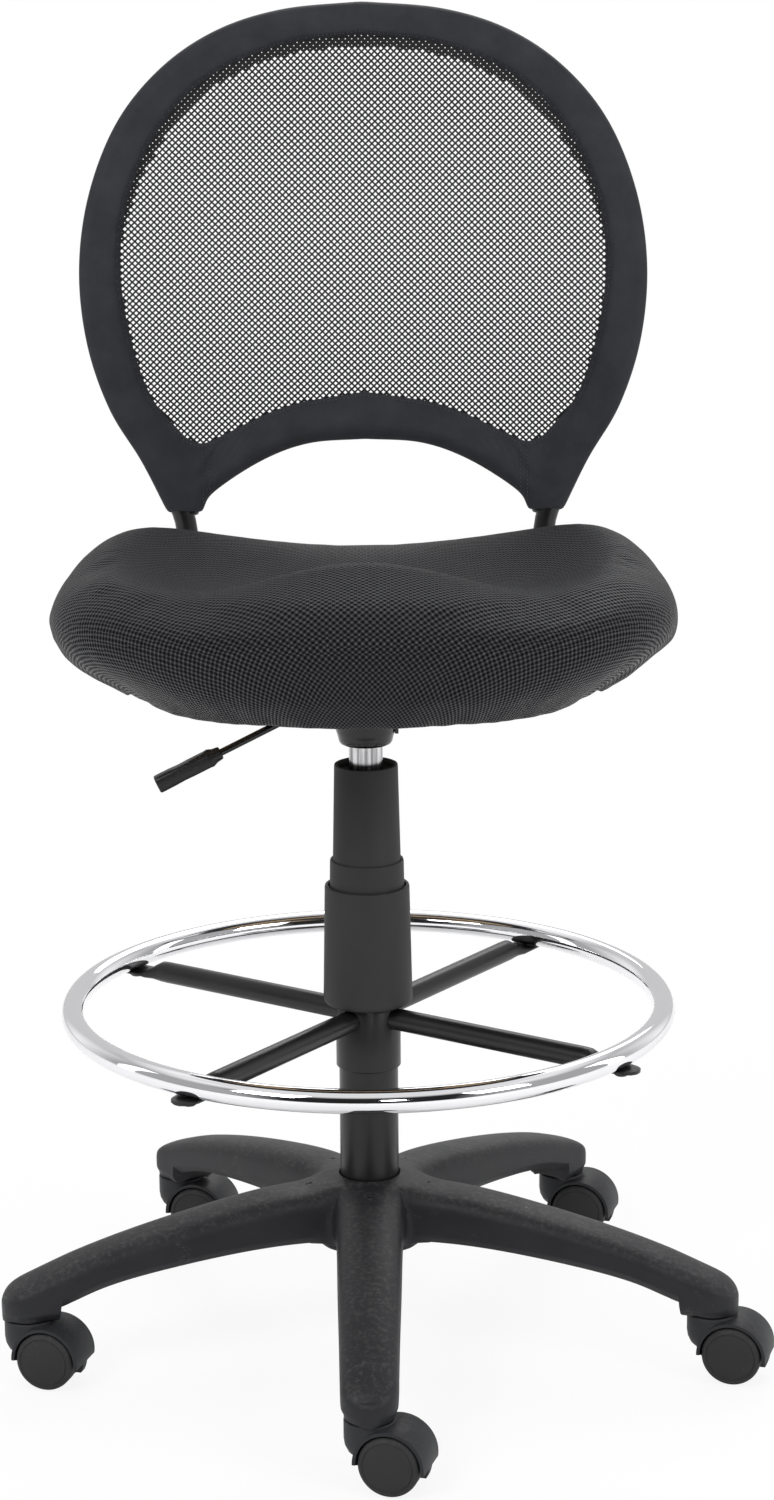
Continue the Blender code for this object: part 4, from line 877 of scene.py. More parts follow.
for number in range(1, 5):
    turn_spoke = turned(AXIS, SPOKE_FIRST_AZIMUTH + 90.0 * (number - 1), "Z")
    spoke = copy_of(spoke_shape, f"foot_ring_spoke_{number}", turn_spoke)
    dress(spoke, COATED_BLACK, "steel_black", "foot_ring")
    screw_place = turn_spoke @ Matrix.Translation((RING_R, 0.0, TAB_TOP - TAB_THICK))
    screw = copy_of(screw_shape, f"ring_screw_{number}", screw_place)
    dress(screw, COATED_BLACK, "steel_black", "foot_ring", f"foot_ring_screw_{number}")
drop(spoke_shape, screw_shape)


def lock_knob_piece():
    """The round hand knob that clamps the sleeve, with a fluted grip."""
    knob = lathe("ring_lock_knob", [(0.0, 0.0256), (0.0030, 0.0256), (0.0030, 0.0288), (0.0060, 0.0288),
                                    (0.0060, 0.0350), (0.0110, 0.0352), (0.0136, 0.0362), (0.0148, 0.0380),
                                    (0.0150, 0.0420), (0.0148, 0.0480), (0.0138, 0.0502), (0.0120, 0.0509),
                                    (0.0, 0.0510)], 72)
    for index in range(8):
        angle = 2 * pi * index / 8
        place = Matrix.Translation((0.0164 * cos(angle), 0.0164 * sin(angle), 0.0))
        cut(knob, cylinder_tool(0.0028, 0.0345, 0.0520, place, 20))
    bevelled(knob, 0.0004, 2, 30.0)
    soften(knob, 40.0)
    knob.data.transform(turned((0.0, 0.0, KNOB_Z), -90.0))
    return about_column(knob)


dress(lock_knob_piece(), GRIP_PLASTIC, "plastic_charcoal", "ring_knob", "foot_ring_lock_knob")


# ---------------------------------------------------------------- seat cushion
SEAT_HALF_X = 0.2600
SEAT_HALF_Y = 0.2400
SEAT_CENTRE_Y = -0.0060
SEAT_ROUNDNESS = 2.35
# the cushion's side, from the middle of its top over the edge to the middle of its underside: share, height over deck
CUSHION_SIDE = [(0.00, 0.1010), (0.15, 0.1010), (0.30, 0.1010), (0.45, 0.1012), (0.58, 0.1012), (0.69, 0.1008),
                (0.78, 0.0995), (0.85, 0.0968), (0.905, 0.0925), (0.945, 0.0870), (0.975, 0.0795), (0.992, 0.0710),
                (0.998, 0.0620), (0.993, 0.0530), (0.979, 0.0440), (0.954, 0.0350), (0.917, 0.0260), (0.870, 0.0175),
                (0.826, 0.0105), (0.787, 0.0052), (0.765, 0.0022), (0.750, 0.0030), (0.742, 0.0085), (0.736, 0.0140),
                (0.60, 0.0150), (0.40, 0.0150), (0.20, 0.0150)]
# soft features of the top: x, y, how wide across, how long towards the front and the rear, height
CUSHION_FEATURES = [(0.000, -0.120, 0.062, 0.046, 0.022, 0.0185),
                    (0.000, 0.000, 0.115, 0.066, 0.105, -0.0240),
                    (0.130, -0.110, 0.036, 0.070, 0.060, -0.0095),
                    (-0.130, -0.110, 0.036, 0.070, 0.060, -0.0095),
                    (0.215, 0.100, 0.045, 0.120, 0.090, 0.0160),
                    (-0.215, 0.100, 0.045, 0.120, 0.090, 0.0160),
                    (0.000, 0.205, 0.095, 0.080, 0.080, -0.0030),
                    (0.165, 0.150, 0.070, 0.090, 0.080, 0.0120),
                    (-0.165, 0.150, 0.070, 0.090, 0.080, 0.0120),
                    (0.118, -0.030, 0.050, 0.080, 0.070, -0.0050),
                    (-0.118, -0.030, 0.050, 0.080, 0.070, -0.0050),
                    (0.0, -0.215, 0.180, 0.070, 0.055, -0.0060)]
FRONT_LIP_HANG = 0.0055
SIDE_TUCK = 0.0042
GATHER = 0.0011
# places on the right where the fabric is drawn in: x, y, depth, width
WRINKLES = [(0.222, -0.085, 0.00512, 0.020), (0.236, -0.050, 0.00736, 0.016), (0.206, -0.118, 0.00384, 0.022)]


def deck_to_column(x, y, height):
    """A point given on the tilted deck, in the column's own coordinates."""
    slope, level = sin(SEAT_PITCH), cos(SEAT_PITCH)
    return (x, y * level - height * slope, DECK_Z + y * slope + height * level)


def seat_outline_point(angle, share):
    power = 2.0 / SEAT_ROUNDNESS
    return (SEAT_HALF_X * share * bent(cos(angle), power),
            SEAT_CENTRE_Y + SEAT_HALF_Y * share * bent(sin(angle), power))


def cushion_rise(x, y, on_top):
    """How far the soft features of the top lift or sink a place on the cushion."""
    total = 0.0
    for cx, cy, wide, front, rear, rise in CUSHION_FEATURES:
        long = front if y < cy else rear
        total += on_top * rise * bell((x - cx) / wide, (y - cy) / long)
    return total


def cushion_cage():
    """The cushion's closed shape, with the distance along its skin from the middle of the top kept in a UV map."""
    around = 96
    points, flat = [], []
    top_x, top_y = seat_outline_point(0.0, 0.0)
    points.append(deck_to_column(top_x, top_y, CUSHION_SIDE[0][1] + cushion_rise(top_x, top_y, 1.0)))
    flat.append((0.0, 0.0))
    rows = CUSHION_SIDE[1:]
    walked = [0.0] * around
    before = [Vector(points[0])] * around
    for row, (share, height) in enumerate(rows):
        on_top = clamp((height - 0.050) / 0.042) if row < 12 else 0.0
        for k in range(around):
            angle = 2 * pi * k / around
            x, y = seat_outline_point(angle, share)
            hang = clamp((-0.110 - y) / 0.060) * clamp((0.016 - height) / 0.012) if share > 0.74 else 0.0
            point = Vector(deck_to_column(x, y, height - FRONT_LIP_HANG * hang + cushion_rise(x, y, on_top)))
            walked[k] += (point - before[k]).length
            before[k] = point
            points.append(tuple(point))
            way = atan2(y - SEAT_CENTRE_Y, x)
            flat.append((walked[k] * cos(way), walked[k] * sin(way)))
    points.append(deck_to_column(0.0, SEAT_CENTRE_Y, rows[-1][1]))
    flat.append((walked[0] + 0.05, 0.0))
    faces = [(0, 1 + k, 1 + (k + 1) % around) for k in range(around)]
    for row in range(len(rows) - 1):
        a, b = 1 + row * around, 1 + (row + 1) * around
        for k in range(around):
            faces.append((a + k, b + k, b + (k + 1) % around, a + (k + 1) % around))
    last = 1 + (len(rows) - 1) * around
    for k in range(around):
        faces.append((last + k, len(points) - 1, last + (k + 1) % around))
    return mesh_piece("cushion_cage", points, faces), flat


SWELL_FRAMES = 20


def swell(piece, pressure, cap):
    """Blow the fabric out a little with cloth under pressure, and cap how far any point moves."""
    cloth = piece.modifiers.new("swell", "CLOTH")
    for key, value in (("quality", 5), ("mass", 0.3), ("tension_stiffness", 12.0), ("compression_stiffness", 12.0),
                       ("shear_stiffness", 6.0), ("bending_stiffness", 1.5), ("use_pressure", True),
                       ("uniform_pressure_force", pressure)):
        setattr(cloth.settings, key, value)
    cloth.settings.effector_weights.gravity = 0.0
    cloth.point_cache.frame_start = 1
    cloth.point_cache.frame_end = SWELL_FRAMES
    scene = bpy.context.scene
    for step in range(1, SWELL_FRAMES + 1):
        scene.frame_set(step)
    evaluated = piece.evaluated_get(bpy.context.evaluated_depsgraph_get())
    moved = [vertex.co.copy() for vertex in evaluated.data.vertices]
    piece.modifiers.remove(cloth)
    scene.frame_set(1)
    for vertex, place in zip(piece.data.vertices, moved):
        step = place - vertex.co
        if step.length > cap:
            step *= cap / step.length
        vertex.co += step
    return piece


def lay_weave(piece, cage, flat):
    """Give the piece a weave_uv map in metres, taken from the nearest place on its cage."""
    tree = BVHTree.FromPolygons([vertex.co for vertex in cage.data.vertices],
                                [list(polygon.vertices) for polygon in cage.data.polygons])
    polygons = cage.data.polygons
    coords = [vertex.co for vertex in cage.data.vertices]
    values = []
    for vertex in piece.data.vertices:
        place, _, index, _ = tree.find_nearest(vertex.co)
        corners = list(polygons[index].vertices)
        weights = poly_3d_calc([coords[corner] for corner in corners], place)
        u = sum(weight * flat[corner][0] for weight, corner in zip(weights, corners))
        v = sum(weight * flat[corner][1] for weight, corner in zip(weights, corners))
        values.append((u, v))
    layer = piece.data.uv_layers.new(name="weave_uv")
    for loop in piece.data.loops:
        layer.data[loop.index].uv = values[loop.vertex_index]


def seat_cushion_piece():
    cage, flat = cushion_cage()
    cushion = copy_of(cage, "seat_cushion_knit", Matrix.Identity(4))
    modified(cushion, "REMESH", mode="VOXEL", voxel_size=0.0055)
    modified(cushion, "SMOOTH", factor=0.5, iterations=6)
    swell(cushion, 4.0, 0.0045)
    modified(cushion, "SMOOTH", factor=0.5, iterations=4)
    rounded(cushion, 1)
    # pulls in the fabric where it turns under, strongest on the right
    for vertex in cushion.data.vertices:
        x, y, z = vertex.co
        height = z - DECK_Z - y * sin(SEAT_PITCH)
        way = atan2(y - SEAT_CENTRE_Y, x)
        gather = noise.noise(Vector((way * 9.0, 0.0, height * 6.0)))
        gather += 0.5 * noise.noise(Vector((way * 23.0, 3.0, height * 14.0)))
        push = -GATHER * clamp((0.060 - height) / 0.045) * gather
        for cx, cy, deep, wide in WRINKLES:
            push -= deep * bell((x - cx) / wide, (y - cy) / wide, (height - 0.034) / 0.020)
        outward = Vector((x / SEAT_HALF_X ** 2, (y - SEAT_CENTRE_Y) / SEAT_HALF_Y ** 2, 0.0))
        if outward.length > 0.0:
            vertex.co += outward.normalized() * push
        # the turned-under edge sits a little higher out at the sides
        vertex.co.z += SIDE_TUCK * clamp((0.050 - height) / 0.034) * clamp((abs(x) - 0.148) / 0.040)
    lay_weave(cushion, cage, flat)
    drop(cage)
    cushion.data.shade_smooth()
    return about_column(cushion)


cushion = seat_cushion_piece()
dress(cushion, SEAT_KNIT, "seat_fabric", "seat", "seat_cushion")


# ---------------------------------------------------------------- seat plate, its socket and bolts
# tilts a mesh that is drawn on the flat deck, and sets it in its place
ON_DECK = Matrix.Translation(Vector((0.0, 0.0, DECK_Z)) + AXIS) @ Matrix.Rotation(SEAT_PITCH, 4, "X")


PLATE_BOLT_X = 0.0740
PLATE_BOLT_Y = 0.0760


def seat_plate_piece():
    """A stamped plate: a sheet with rounded corners, a drawn box in its middle and two stiffening ribs."""
    plate = box_tool((-0.0900, -0.0950, -0.0028), (0.0900, 0.0950, -0.0003))
    keep_only(plate)
    bpy.ops.object.mode_set(mode="EDIT")
    bpy.ops.mesh.select_all(action="DESELECT")
    bpy.ops.object.mode_set(mode="OBJECT")
    for edge in plate.data.edges:
        a, b = (plate.data.vertices[index].co for index in edge.vertices)
        edge.select = abs(a.z - b.z) > 0.001
    bpy.ops.object.mode_set(mode="EDIT")
    bpy.ops.mesh.bevel(offset=0.014, segments=6)
    bpy.ops.object.mode_set(mode="OBJECT")
    cut(plate, bevelled(box_tool((-0.0400, -0.0460, -0.0218), (0.0400, 0.0460, -0.0006)), 0.0060, 4), "UNION")
    for side in (-1.0, 1.0):
        low_x, high_x = sorted((side * 0.0520, side * 0.0580))
        cut(plate, bevelled(box_tool((low_x, -0.0800, -0.0052), (high_x, 0.0800, -0.0008)), 0.0015, 2), "UNION")
    cut(plate, box_tool((-0.0375, -0.0435, -0.0188), (0.0375, 0.0435, 0.0100)))
    cut(plate, box_tool((-0.0600, -0.0140, -0.0205), (-0.0300, 0.0040, -0.0048)))
    for sx in (-1.0, 1.0):
        for sy in (-1.0, 1.0):
            place = Matrix.Translation((sx * PLATE_BOLT_X, sy * PLATE_BOLT_Y, 0.0))
            cut(plate, cylinder_tool(0.0033, -0.012, 0.010, place, 24))
    clean(plate, 0.00003)
    bevelled(plate, 0.0005, 2, 40.0)
    plate.name = plate.data.name = "seat_plate_stamped"
    soften(plate).data.transform(ON_DECK)
    return plate


dress(seat_plate_piece(), COATED_BLACK, "steel_black", "seat", "seat_plate")
column_piece("seat_socket", [(0.01435, 0.5212), (0.0160, 0.5206), (0.0190, 0.5208), (0.0210, 0.5218),
                             (0.0222, 0.5236), (0.0228, 0.5262), (0.0238, 0.5300), (0.0248, 0.5330),
                             (0.0252, 0.5420), (0.0262, 0.5438), (0.0282, 0.5446), (0.0286, 0.5454),
                             (0.0282, 0.5462), (0.0240, 0.5466), (0.0228, 0.5560), (0.01435, 0.5560)],
             COATED_GLOSS, "steel_black", "seat", angle=50.0)
ear = bevelled(box_tool((0.0240, -0.0060, 0.5300), (0.0272, 0.0060, 0.5480)), 0.0006, 2)
ear.name = ear.data.name = "socket_ear"
dress(about_column(soften(ear)), COATED_GLOSS, "steel_black", "seat")


def hex_bolt(name, length, head_z):
    """A bolt that points up, with a washer face and a hexagon head under it."""
    shank = lathe(name, [(0.0, head_z + length), (0.0030, head_z + length), (0.0030, head_z - 0.0003),
                         (0.0065, head_z - 0.0003), (0.0065, head_z - 0.0013), (0.0, head_z - 0.0013)], 32)
    head = cylinder_tool(0.0056, head_z - 0.0050, head_z - 0.0010, None, 6)
    bevelled(head, 0.0004, 2)
    cut(shank, head, "UNION")
    return soften(shank, 35.0)


plate_bolt = hex_bolt("plate_bolt_model", 0.0120, -0.0028)
back_bolt = hex_bolt("back_bolt_model", 0.0270, -(2 * BACK_TUBE_R + GAP + 0.0008))
for number, (sx, sy) in enumerate(((-1, -1), (1, -1), (-1, 1), (1, 1)), start=1):
    place = ON_DECK @ Matrix.Translation((sx * PLATE_BOLT_X, sy * PLATE_BOLT_Y, 0.0))
    bolt = copy_of(plate_bolt, f"plate_hex_bolt_{number}", place)
    dress(bolt, ZINC, "zinc", "seat", f"plate_bolt_{number}")
for number, (sign, y) in enumerate(((-1, 0.0250), (-1, 0.0850), (1, 0.0250), (1, 0.0850)), start=1):
    bolt = copy_of(back_bolt, f"back_hex_bolt_{number}", ON_DECK @ Matrix.Translation((sign * LEG_X, y, 0.0)))
    dress(bolt, ZINC, "zinc", "seat", f"back_bolt_{number}")
drop(plate_bolt, back_bolt)
repaint("seat_board", PLYWOOD)
for hidden_node, metal in (("guide_bush", BEARING_PLASTIC), ("thrust_bearing", ZINC), ("retaining_clip", ZINC),
                           ("piston_rod", ZINC), ("valve_pin", ZINC)):
    repaint(hidden_node, metal)


# ---------------------------------------------------------------- height lever
LEVER_ROUTE = [(0.0045, 0.0, 0.5630), (-0.0240, -0.0020, 0.5625), (-0.0470, -0.0080, 0.5525),
               (-0.1400, -0.0200, 0.5080)]


def lever_pieces():
    """The bent rod, and its grip: a round collar that widens into a flat rounded paddle."""
    points = [Vector(point) for point in LEVER_ROUTE]
    route = [points[0]] + smooth_path(points[:3], 6)[1:] + [points[3]]
    rod = bar("lever_bent_rod", route, 0.0030, 6)
    dress(about_column(rod), COATED_GLOSS, "steel_black", "lever", "lever_rod")
    run = (points[3] - points[2]).normalized()
    start = points[2] + run * 0.0800
    turn_paddle = Matrix.Translation(start) @ run.to_track_quat("X", "Z").to_matrix().to_4x4()
    collar = [(0.0000, 0.0040, 0.0042), (0.0006, 0.0050, 0.0054), (0.0060, 0.0054, 0.0062)]
    paddle = [(0.0100, 0.0062, 0.0074), (0.0130, 0.0070, 0.0070), (0.0350, 0.0075, 0.0070), (0.0560, 0.0078, 0.0072),
              (0.0582, 0.0077, 0.0070), (0.0588, 0.0070, 0.0062)]
    sections = [(*section, 0.0, 1.0) for section in collar] + [(*section, 0.0, SQUARED) for section in paddle]
    grip = oval_loft("lever_grip", sections, 24)
    # a shallow thumb hollow in each flat face
    for side in (-1.0, 1.0):
        hollow = cylinder_tool(0.060, -0.020, 0.020, turned((0.036, 0.0, side * 0.0660), 90.0), 96)
        hollow.data.transform(Matrix.Scale(0.30, 4, (0.0, 1.0, 0.0)))
        cut(grip, hollow)
    bevelled(grip, 0.0004, 2, 40.0)
    soften(grip, 40.0)
    grip.data.transform(turn_paddle)
    dress(about_column(grip), GRIP_PLASTIC, "plastic_charcoal", "lever", "lever_paddle")


lever_pieces()


# ---------------------------------------------------------------- back: lines shared by its pieces
BACK_ARCH_R = 0.0070
BACK_BOW = 0.022
BACK_LEAN = [(0.640, 0.284), (0.780, 0.273), (0.900, 0.275), (1.010, 0.289), (1.120, 0.313)]
BACK_OUTLINE = [(0.0000, 1.1110), (0.0690, 1.1050), (0.1258, 1.0880), (0.1740, 1.0570), (0.2130, 1.0110),
                (0.2380, 0.9500), (0.2475, 0.8850), (0.2420, 0.8200), (0.2240, 0.7620), (0.1980, 0.7160),
                (0.1760, 0.6680)]
BACK_ARCH = [(0.1450, 0.6680), (0.1355, 0.6850), (0.0925, 0.7130), (0.0500, 0.7285), (0.0000, 0.7320)]
BACK_WINDOW = [(0.0000, 1.0830), (0.0680, 1.0745), (0.1310, 1.0490), (0.1760, 1.0050), (0.2040, 0.9450),
               (0.2116, 0.8850), (0.2040, 0.8250), (0.1870, 0.7720), (0.1580, 0.7355)]
BACK_LOBE = [(0.1580, 0.7355), (0.1440, 0.7300), (0.1297, 0.7353)]
BACK_WINDOW_ARCH = [(0.1297, 0.7353), (0.0694, 0.7620), (0.0000, 0.7745)]
LEG_FRONT_Y = 0.0050
LEG_REAR_Y = 0.2680
LEG_BEND_R = 0.0520


def back_y(x, z):
    """How far behind the column the back's middle surface lies."""
    return curve_at(BACK_LEAN, z) - BACK_BOW * (x / 0.25) ** 2


def on_back(x, z, offset=0.0):
    return Vector((x, back_y(x, z) + offset, z))


def flat_path(points, count):
    route = evenly_spaced(smooth_path([(x, 0.0, z) for x, z in points], 12), count)
    return [(point.x, point.z) for point in route]


def inset_path(path, distance):
    moved = []
    for i, (x, z) in enumerate(path):
        x0, z0 = path[max(i - 1, 0)]
        x1, z1 = path[min(i + 1, len(path) - 1)]
        length = hypot(x1 - x0, z1 - z0)
        moved.append((x + (z1 - z0) / length * distance, z - (x1 - x0) / length * distance))
    return moved


def mirrored(half):
    return half + [(-x, z) for x, z in reversed(half[:-1])]


def leg_route():
    """The hoop's right half, then its leg, down behind the seat and forward under the board."""
    half_hoop = inset_path(flat_path(BACK_OUTLINE, 48), BACK_TUBE_R + 0.0020)
    half_hoop = [(x, z) for x, z in half_hoop if z > 0.690]
    half_hoop[0] = (0.0, half_hoop[0][1])
    route = [on_back(x, z) for x, z in half_hoop]
    route += smooth_path([route[-1], on_back(0.1605, 0.660), Vector((LEG_X, LEG_REAR_Y, 0.610))], 5)[1:]
    slope = -SEAT_PITCH
    run_z = DECK_Z - (BACK_TUBE_R + GAP + 0.0002) / cos(slope)
    turn_angle = pi / 2 + slope
    rear_z = run_z - tan(slope) * LEG_REAR_Y
    centre = Vector((LEG_X, LEG_REAR_Y - LEG_BEND_R, rear_z + LEG_BEND_R * tan(turn_angle / 2)))
    route += [centre + Vector((0.0, LEG_BEND_R * cos(turn_angle * k / 12), -LEG_BEND_R * sin(turn_angle * k / 12)))
              for k in range(13)]
    route.append(Vector((LEG_X, LEG_FRONT_Y, run_z - tan(slope) * LEG_FRONT_Y)))
    return route


LEG = leg_route()
ARCH_HALF = inset_path(flat_path(BACK_ARCH, 20), BACK_ARCH_R + 0.0022)
ARCH_HALF[-1] = (0.0, ARCH_HALF[-1][1])


def nearest_on(route, x, z):
    """The distance to a route as seen from the front, and how far back the route lies there."""
    best = (1.0, 0.0)
    for a, b in zip(route, route[1:]):
        dx, dz = b.x - a.x, b.z - a.z
        t = clamp(((x - a.x) * dx + (z - a.z) * dz) / max(dx * dx + dz * dz, 1e-12))
        best = min(best, (hypot(x - a.x - t * dx, z - a.z - t * dz), a.y + (b.y - a.y) * t))
    return best


ARCH_ROUTE = [on_back(x, z) for x, z in ARCH_HALF if nearest_on(LEG, x, z)[0] > BACK_TUBE_R * 0.5]
ARCH_ROUTE.insert(0, min(LEG, key=lambda point: (point - ARCH_ROUTE[0]).length))


# ---------------------------------------------------------------- back: bent tube frame
def back_frame_pieces():
    other_leg = [Vector((-point.x, point.y, point.z)) for point in reversed(LEG[1:])]
    hoop = bar("back_bent_tube", other_leg + LEG, BACK_TUBE_R, 8)
    dress(about_column(hoop), COATED_BLACK, "steel_black", "seat", "back_frame")
    other_half = [Vector((-point.x, point.y, point.z)) for point in reversed(ARCH_ROUTE[:-1])]
    arch = bar("back_arch_tube", ARCH_ROUTE + other_half, BACK_ARCH_R, 6)
    dress(about_column(arch), COATED_BLACK, "steel_black", "seat")
    # moulded plugs close the tube's two open ends under the seat
    plug_shape = lathe("plug_model", [(0.0, 0.0), (0.0082, 0.0), (0.0095, 0.0010), (0.0095, 0.0022), (0.0080, 0.0024),
                                      (0.0080, 0.0030), (0.0, 0.0030)], 32)
    soften(plug_shape, 40.0)
    for side, sign in (("left", -1.0), ("right", 1.0)):
        way = (LEG[-2] - LEG[-1]).normalized()
        place = Vector((sign * LEG[-1].x, LEG[-1].y, LEG[-1].z)) - way * 0.0024
        turn_plug = Matrix.Translation(place) @ way.to_track_quat("Z", "Y").to_matrix().to_4x4()
        plug = copy_of(plug_shape, f"tube_plug_{side}", Matrix.Translation(AXIS) @ turn_plug)
        dress(plug, GRIP_PLASTIC, "plastic_charcoal", "seat")
    drop(plug_shape)


back_frame_pieces()


# ---------------------------------------------------------------- back: knit border
OUTER_LINE = mirrored(flat_path(BACK_OUTLINE, 66) + flat_path([BACK_OUTLINE[-1], BACK_ARCH[0]], 9)[1:-1]
                      + flat_path(BACK_ARCH, 30))[:-1]
WINDOW_LINE = mirrored(flat_path(BACK_WINDOW, 66) + flat_path(BACK_LOBE, 9)[1:-1]
                       + flat_path(BACK_WINDOW_ARCH, 30))[:-1]
# across the border, from its outer edge to the net: share, half thickness where no tube lies under it
BORDER_SECTION = [(0.000, 0.0004), (0.012, 0.0042), (0.040, 0.0070), (0.090, 0.0094), (0.160, 0.0112),
                  (0.240, 0.0120), (0.330, 0.0120), (0.430, 0.0108), (0.540, 0.0088), (0.660, 0.0066),
                  (0.780, 0.0047), (0.880, 0.0034), (0.950, 0.0026), (0.985, 0.0020), (1.000, 0.0012)]
SEAM_X = 0.1405


def border_crease(x, z, share):
    """The pulls in the border's fabric: long horizontal folds beside the corner seams, and a fine unrest all over."""
    side = abs(x)
    near_seam = bell((side - 0.128) / 0.022, (z - 0.712) / 0.026)
    folds = sin((z - 0.25 * side) * 620.0 + 2.0 * noise.noise(Vector((x * 30.0, z * 22.0, 1.0))))
    seam_groove = exp(-((side - SEAM_X) / 0.0016) ** 2) if z < 0.7315 else 0.0
    unrest = noise.noise(Vector((x * 26.0, z * 26.0, share * 2.0)))
    return near_seam * folds * 0.0019 + unrest * 0.0008 - seam_groove * 0.0016


def cover_reach(x, z, share, side):
    """How far the cover stands off the middle surface: over the tubes where it crosses them, thin elsewhere."""
    least = 0.0
    for (s0, t0), (s1, t1) in zip(BORDER_SECTION, BORDER_SECTION[1:]):
        if s0 <= share <= s1:
            least = t0 + (t1 - t0) * (share - s0) / (s1 - s0)
    wide = 0.0
    for route, radius in ((LEG, BACK_TUBE_R + 0.0018), (ARCH_ROUTE, BACK_ARCH_R + 0.0018)):
        distance, y = nearest_on(route, abs(x), z)
        stretch = radius + 0.0150
        if distance < stretch:
            over = radius * sqrt(max(1.0 - (distance / stretch) ** 2, 0.0))
            wide = max(wide, side * (y - back_y(x, z)) + over)
    edge = min(share / 0.05, 1.0) ** 0.5 * min((1.0 - share) / 0.10, 1.0)
    return max(least, wide * edge)


def border_piece():
    """One sewn sleeve round the hoop and the arch bar: closed at its outer edge, and at the net by its hem."""
    count = len(OUTER_LINE)
    lanes = [(share, -1.0) for share, _ in reversed(BORDER_SECTION)]
    lanes += [(share, 1.0) for share, _ in BORDER_SECTION[1:]]
    points = []
    for share, side in lanes:
        for (xo, zo), (xw, zw) in zip(OUTER_LINE, WINDOW_LINE):
            x, z = xo + (xw - xo) * share, zo + (zw - zo) * share
            reach = cover_reach(x, z, share, side)
            if 0.02 < share < 0.97:
                reach += border_crease(x, z, share) * min(1.0, share * 8.0, (1.0 - share) * 8.0)
            points.append(on_back(x, z, side * max(reach, 0.0004)))
    faces = []
    for row in range(len(lanes)):
        a, b = row * count, (row + 1) % len(lanes) * count
        for i in range(count):
            j = (i + 1) % count
            faces.append((a + i, a + j, b + j, b + i))
    border = clean(mesh_piece("back_border", points, faces))
    rounded(border, 1)
    modified(border, "SOLIDIFY", thickness=0.0010, offset=-1.0)
    layer = border.data.uv_layers.new(name="weave_uv")
    for loop in border.data.loops:
        place = border.data.vertices[loop.vertex_index].co
        layer.data[loop.index].uv = (place.x, place.z + 0.35 * place.y)
    border.data.shade_smooth()
    return about_column(border)


border = border_piece()
dress(border, BORDER_KNIT, "back_knit", "seat", "back_cover_front", "back_cover_rear")


# ---------------------------------------------------------------- back: net
NET_PITCH_X = 0.0056
NET_PITCH_Z = 0.0054
NET_FOOT_Z = 0.72
NET_OPEN = 0.62         # the hole's share of a diamond
NET_OPEN_DOUBLED = 0.24
NET_TUCK = 0.0034       # how far the net runs in under the border
DOUBLED_STRIP = 0.0090  # along the top the net is turned over and lies double


def window_distance(x, z):
    """How far a point lies inside the net's window (negative outside)."""
    best, inside = 1.0, False
    for (x0, z0), (x1, z1) in zip(WINDOW_LINE, WINDOW_LINE[1:] + WINDOW_LINE[:1]):
        if (z0 > z) != (z1 > z) and x < (x1 - x0) * (z - z0) / (z1 - z0) + x0:
            inside = not inside
        dx, dz = x1 - x0, z1 - z0
        t = clamp(((x - x0) * dx + (z - z0) * dz) / max(dx * dx + dz * dz, 1e-12))
        best = min(best, hypot(x - x0 - t * dx, z - z0 - t * dz))
    return best if inside else -best


def net_piece():
    """An open net: a lattice of diamonds, each with a diamond-shaped hole, on the back's curved surface."""
    points, faces, index_of = [], [], {}

    def corner(i, j):
        if (i, j) not in index_of:
            index_of[(i, j)] = len(points)
            points.append(on_back(i * NET_PITCH_X / 2, NET_FOOT_Z + j * NET_PITCH_Z / 2))
        return index_of[(i, j)]

    columns = int(0.225 / (NET_PITCH_X / 2)) + 1
    rows = int(0.375 / (NET_PITCH_Z / 2)) + 1
    for i in range(-columns, columns + 1):
        for j in range(0, rows + 1):
            if (i + j) % 2:
                continue
            x, z = i * NET_PITCH_X / 2, NET_FOOT_Z + j * NET_PITCH_Z / 2
            depth = window_distance(x, z)
            if depth < -NET_TUCK:
                continue
            ring = [corner(i + 1, j), corner(i, j + 1), corner(i - 1, j), corner(i, j - 1)]
            doubled = depth < DOUBLED_STRIP * clamp((z - 0.900) / 0.110)
            share = NET_OPEN_DOUBLED if doubled else NET_OPEN
            hole = []
            for step_x, step_z in ((1, 0), (0, 1), (-1, 0), (0, -1)):
                hole.append(len(points))
                points.append(on_back(x + step_x * NET_PITCH_X / 2 * share, z + step_z * NET_PITCH_Z / 2 * share))
            for k in range(4):
                faces.append((ring[k], ring[(k + 1) % 4], hole[(k + 1) % 4], hole[k]))
    net = mesh_piece("back_open_net", points, faces)
    return about_column(modified(net, "SOLIDIFY", thickness=0.0009, offset=0.0))


net = net_piece()
dress(net, NET_YARN, "back_net", "seat", "back_net")


# ---------------------------------------------------------------- back: stitching
def stitch_run(route, pitch, side, lift):
    """Short thread stitches along a flat route, each a small rounded bar that dips into the cloth at both ends."""
    path = [Vector((x, 0.0, z)) for x, z in route]
    total = sum((b - a).length for a, b in zip(path, path[1:]))
    places = evenly_spaced(path, max(int(total / pitch) * 2, 4))
    points, faces = [], []
    sides = 5
    sections = ((0.0, 0.00022, -0.0003), (0.22, 0.00036, 0.0002), (0.78, 0.00036, 0.0002), (1.0, 0.00022, -0.0003))
    for k in range(0, len(places) - 1, 2):
        start, end = places[k], places[k + 1]
        way = (end - start).normalized()
        across = Vector((-way.z, 0.0, way.x))
        base = len(points)
        for share, radius, rise in sections:
            centre = start.lerp(end, share)
            for s in range(sides):
                angle = 2 * pi * s / sides
                x = centre.x + across.x * radius * cos(angle)
                z = centre.z + across.z * radius * cos(angle)
                points.append(on_back(x, z, side * (lift(centre.x, centre.z) + rise + radius * sin(angle))))
        faces += ring_strips(len(sections), sides, base) + end_faces(len(sections), sides, base)
    return points, faces


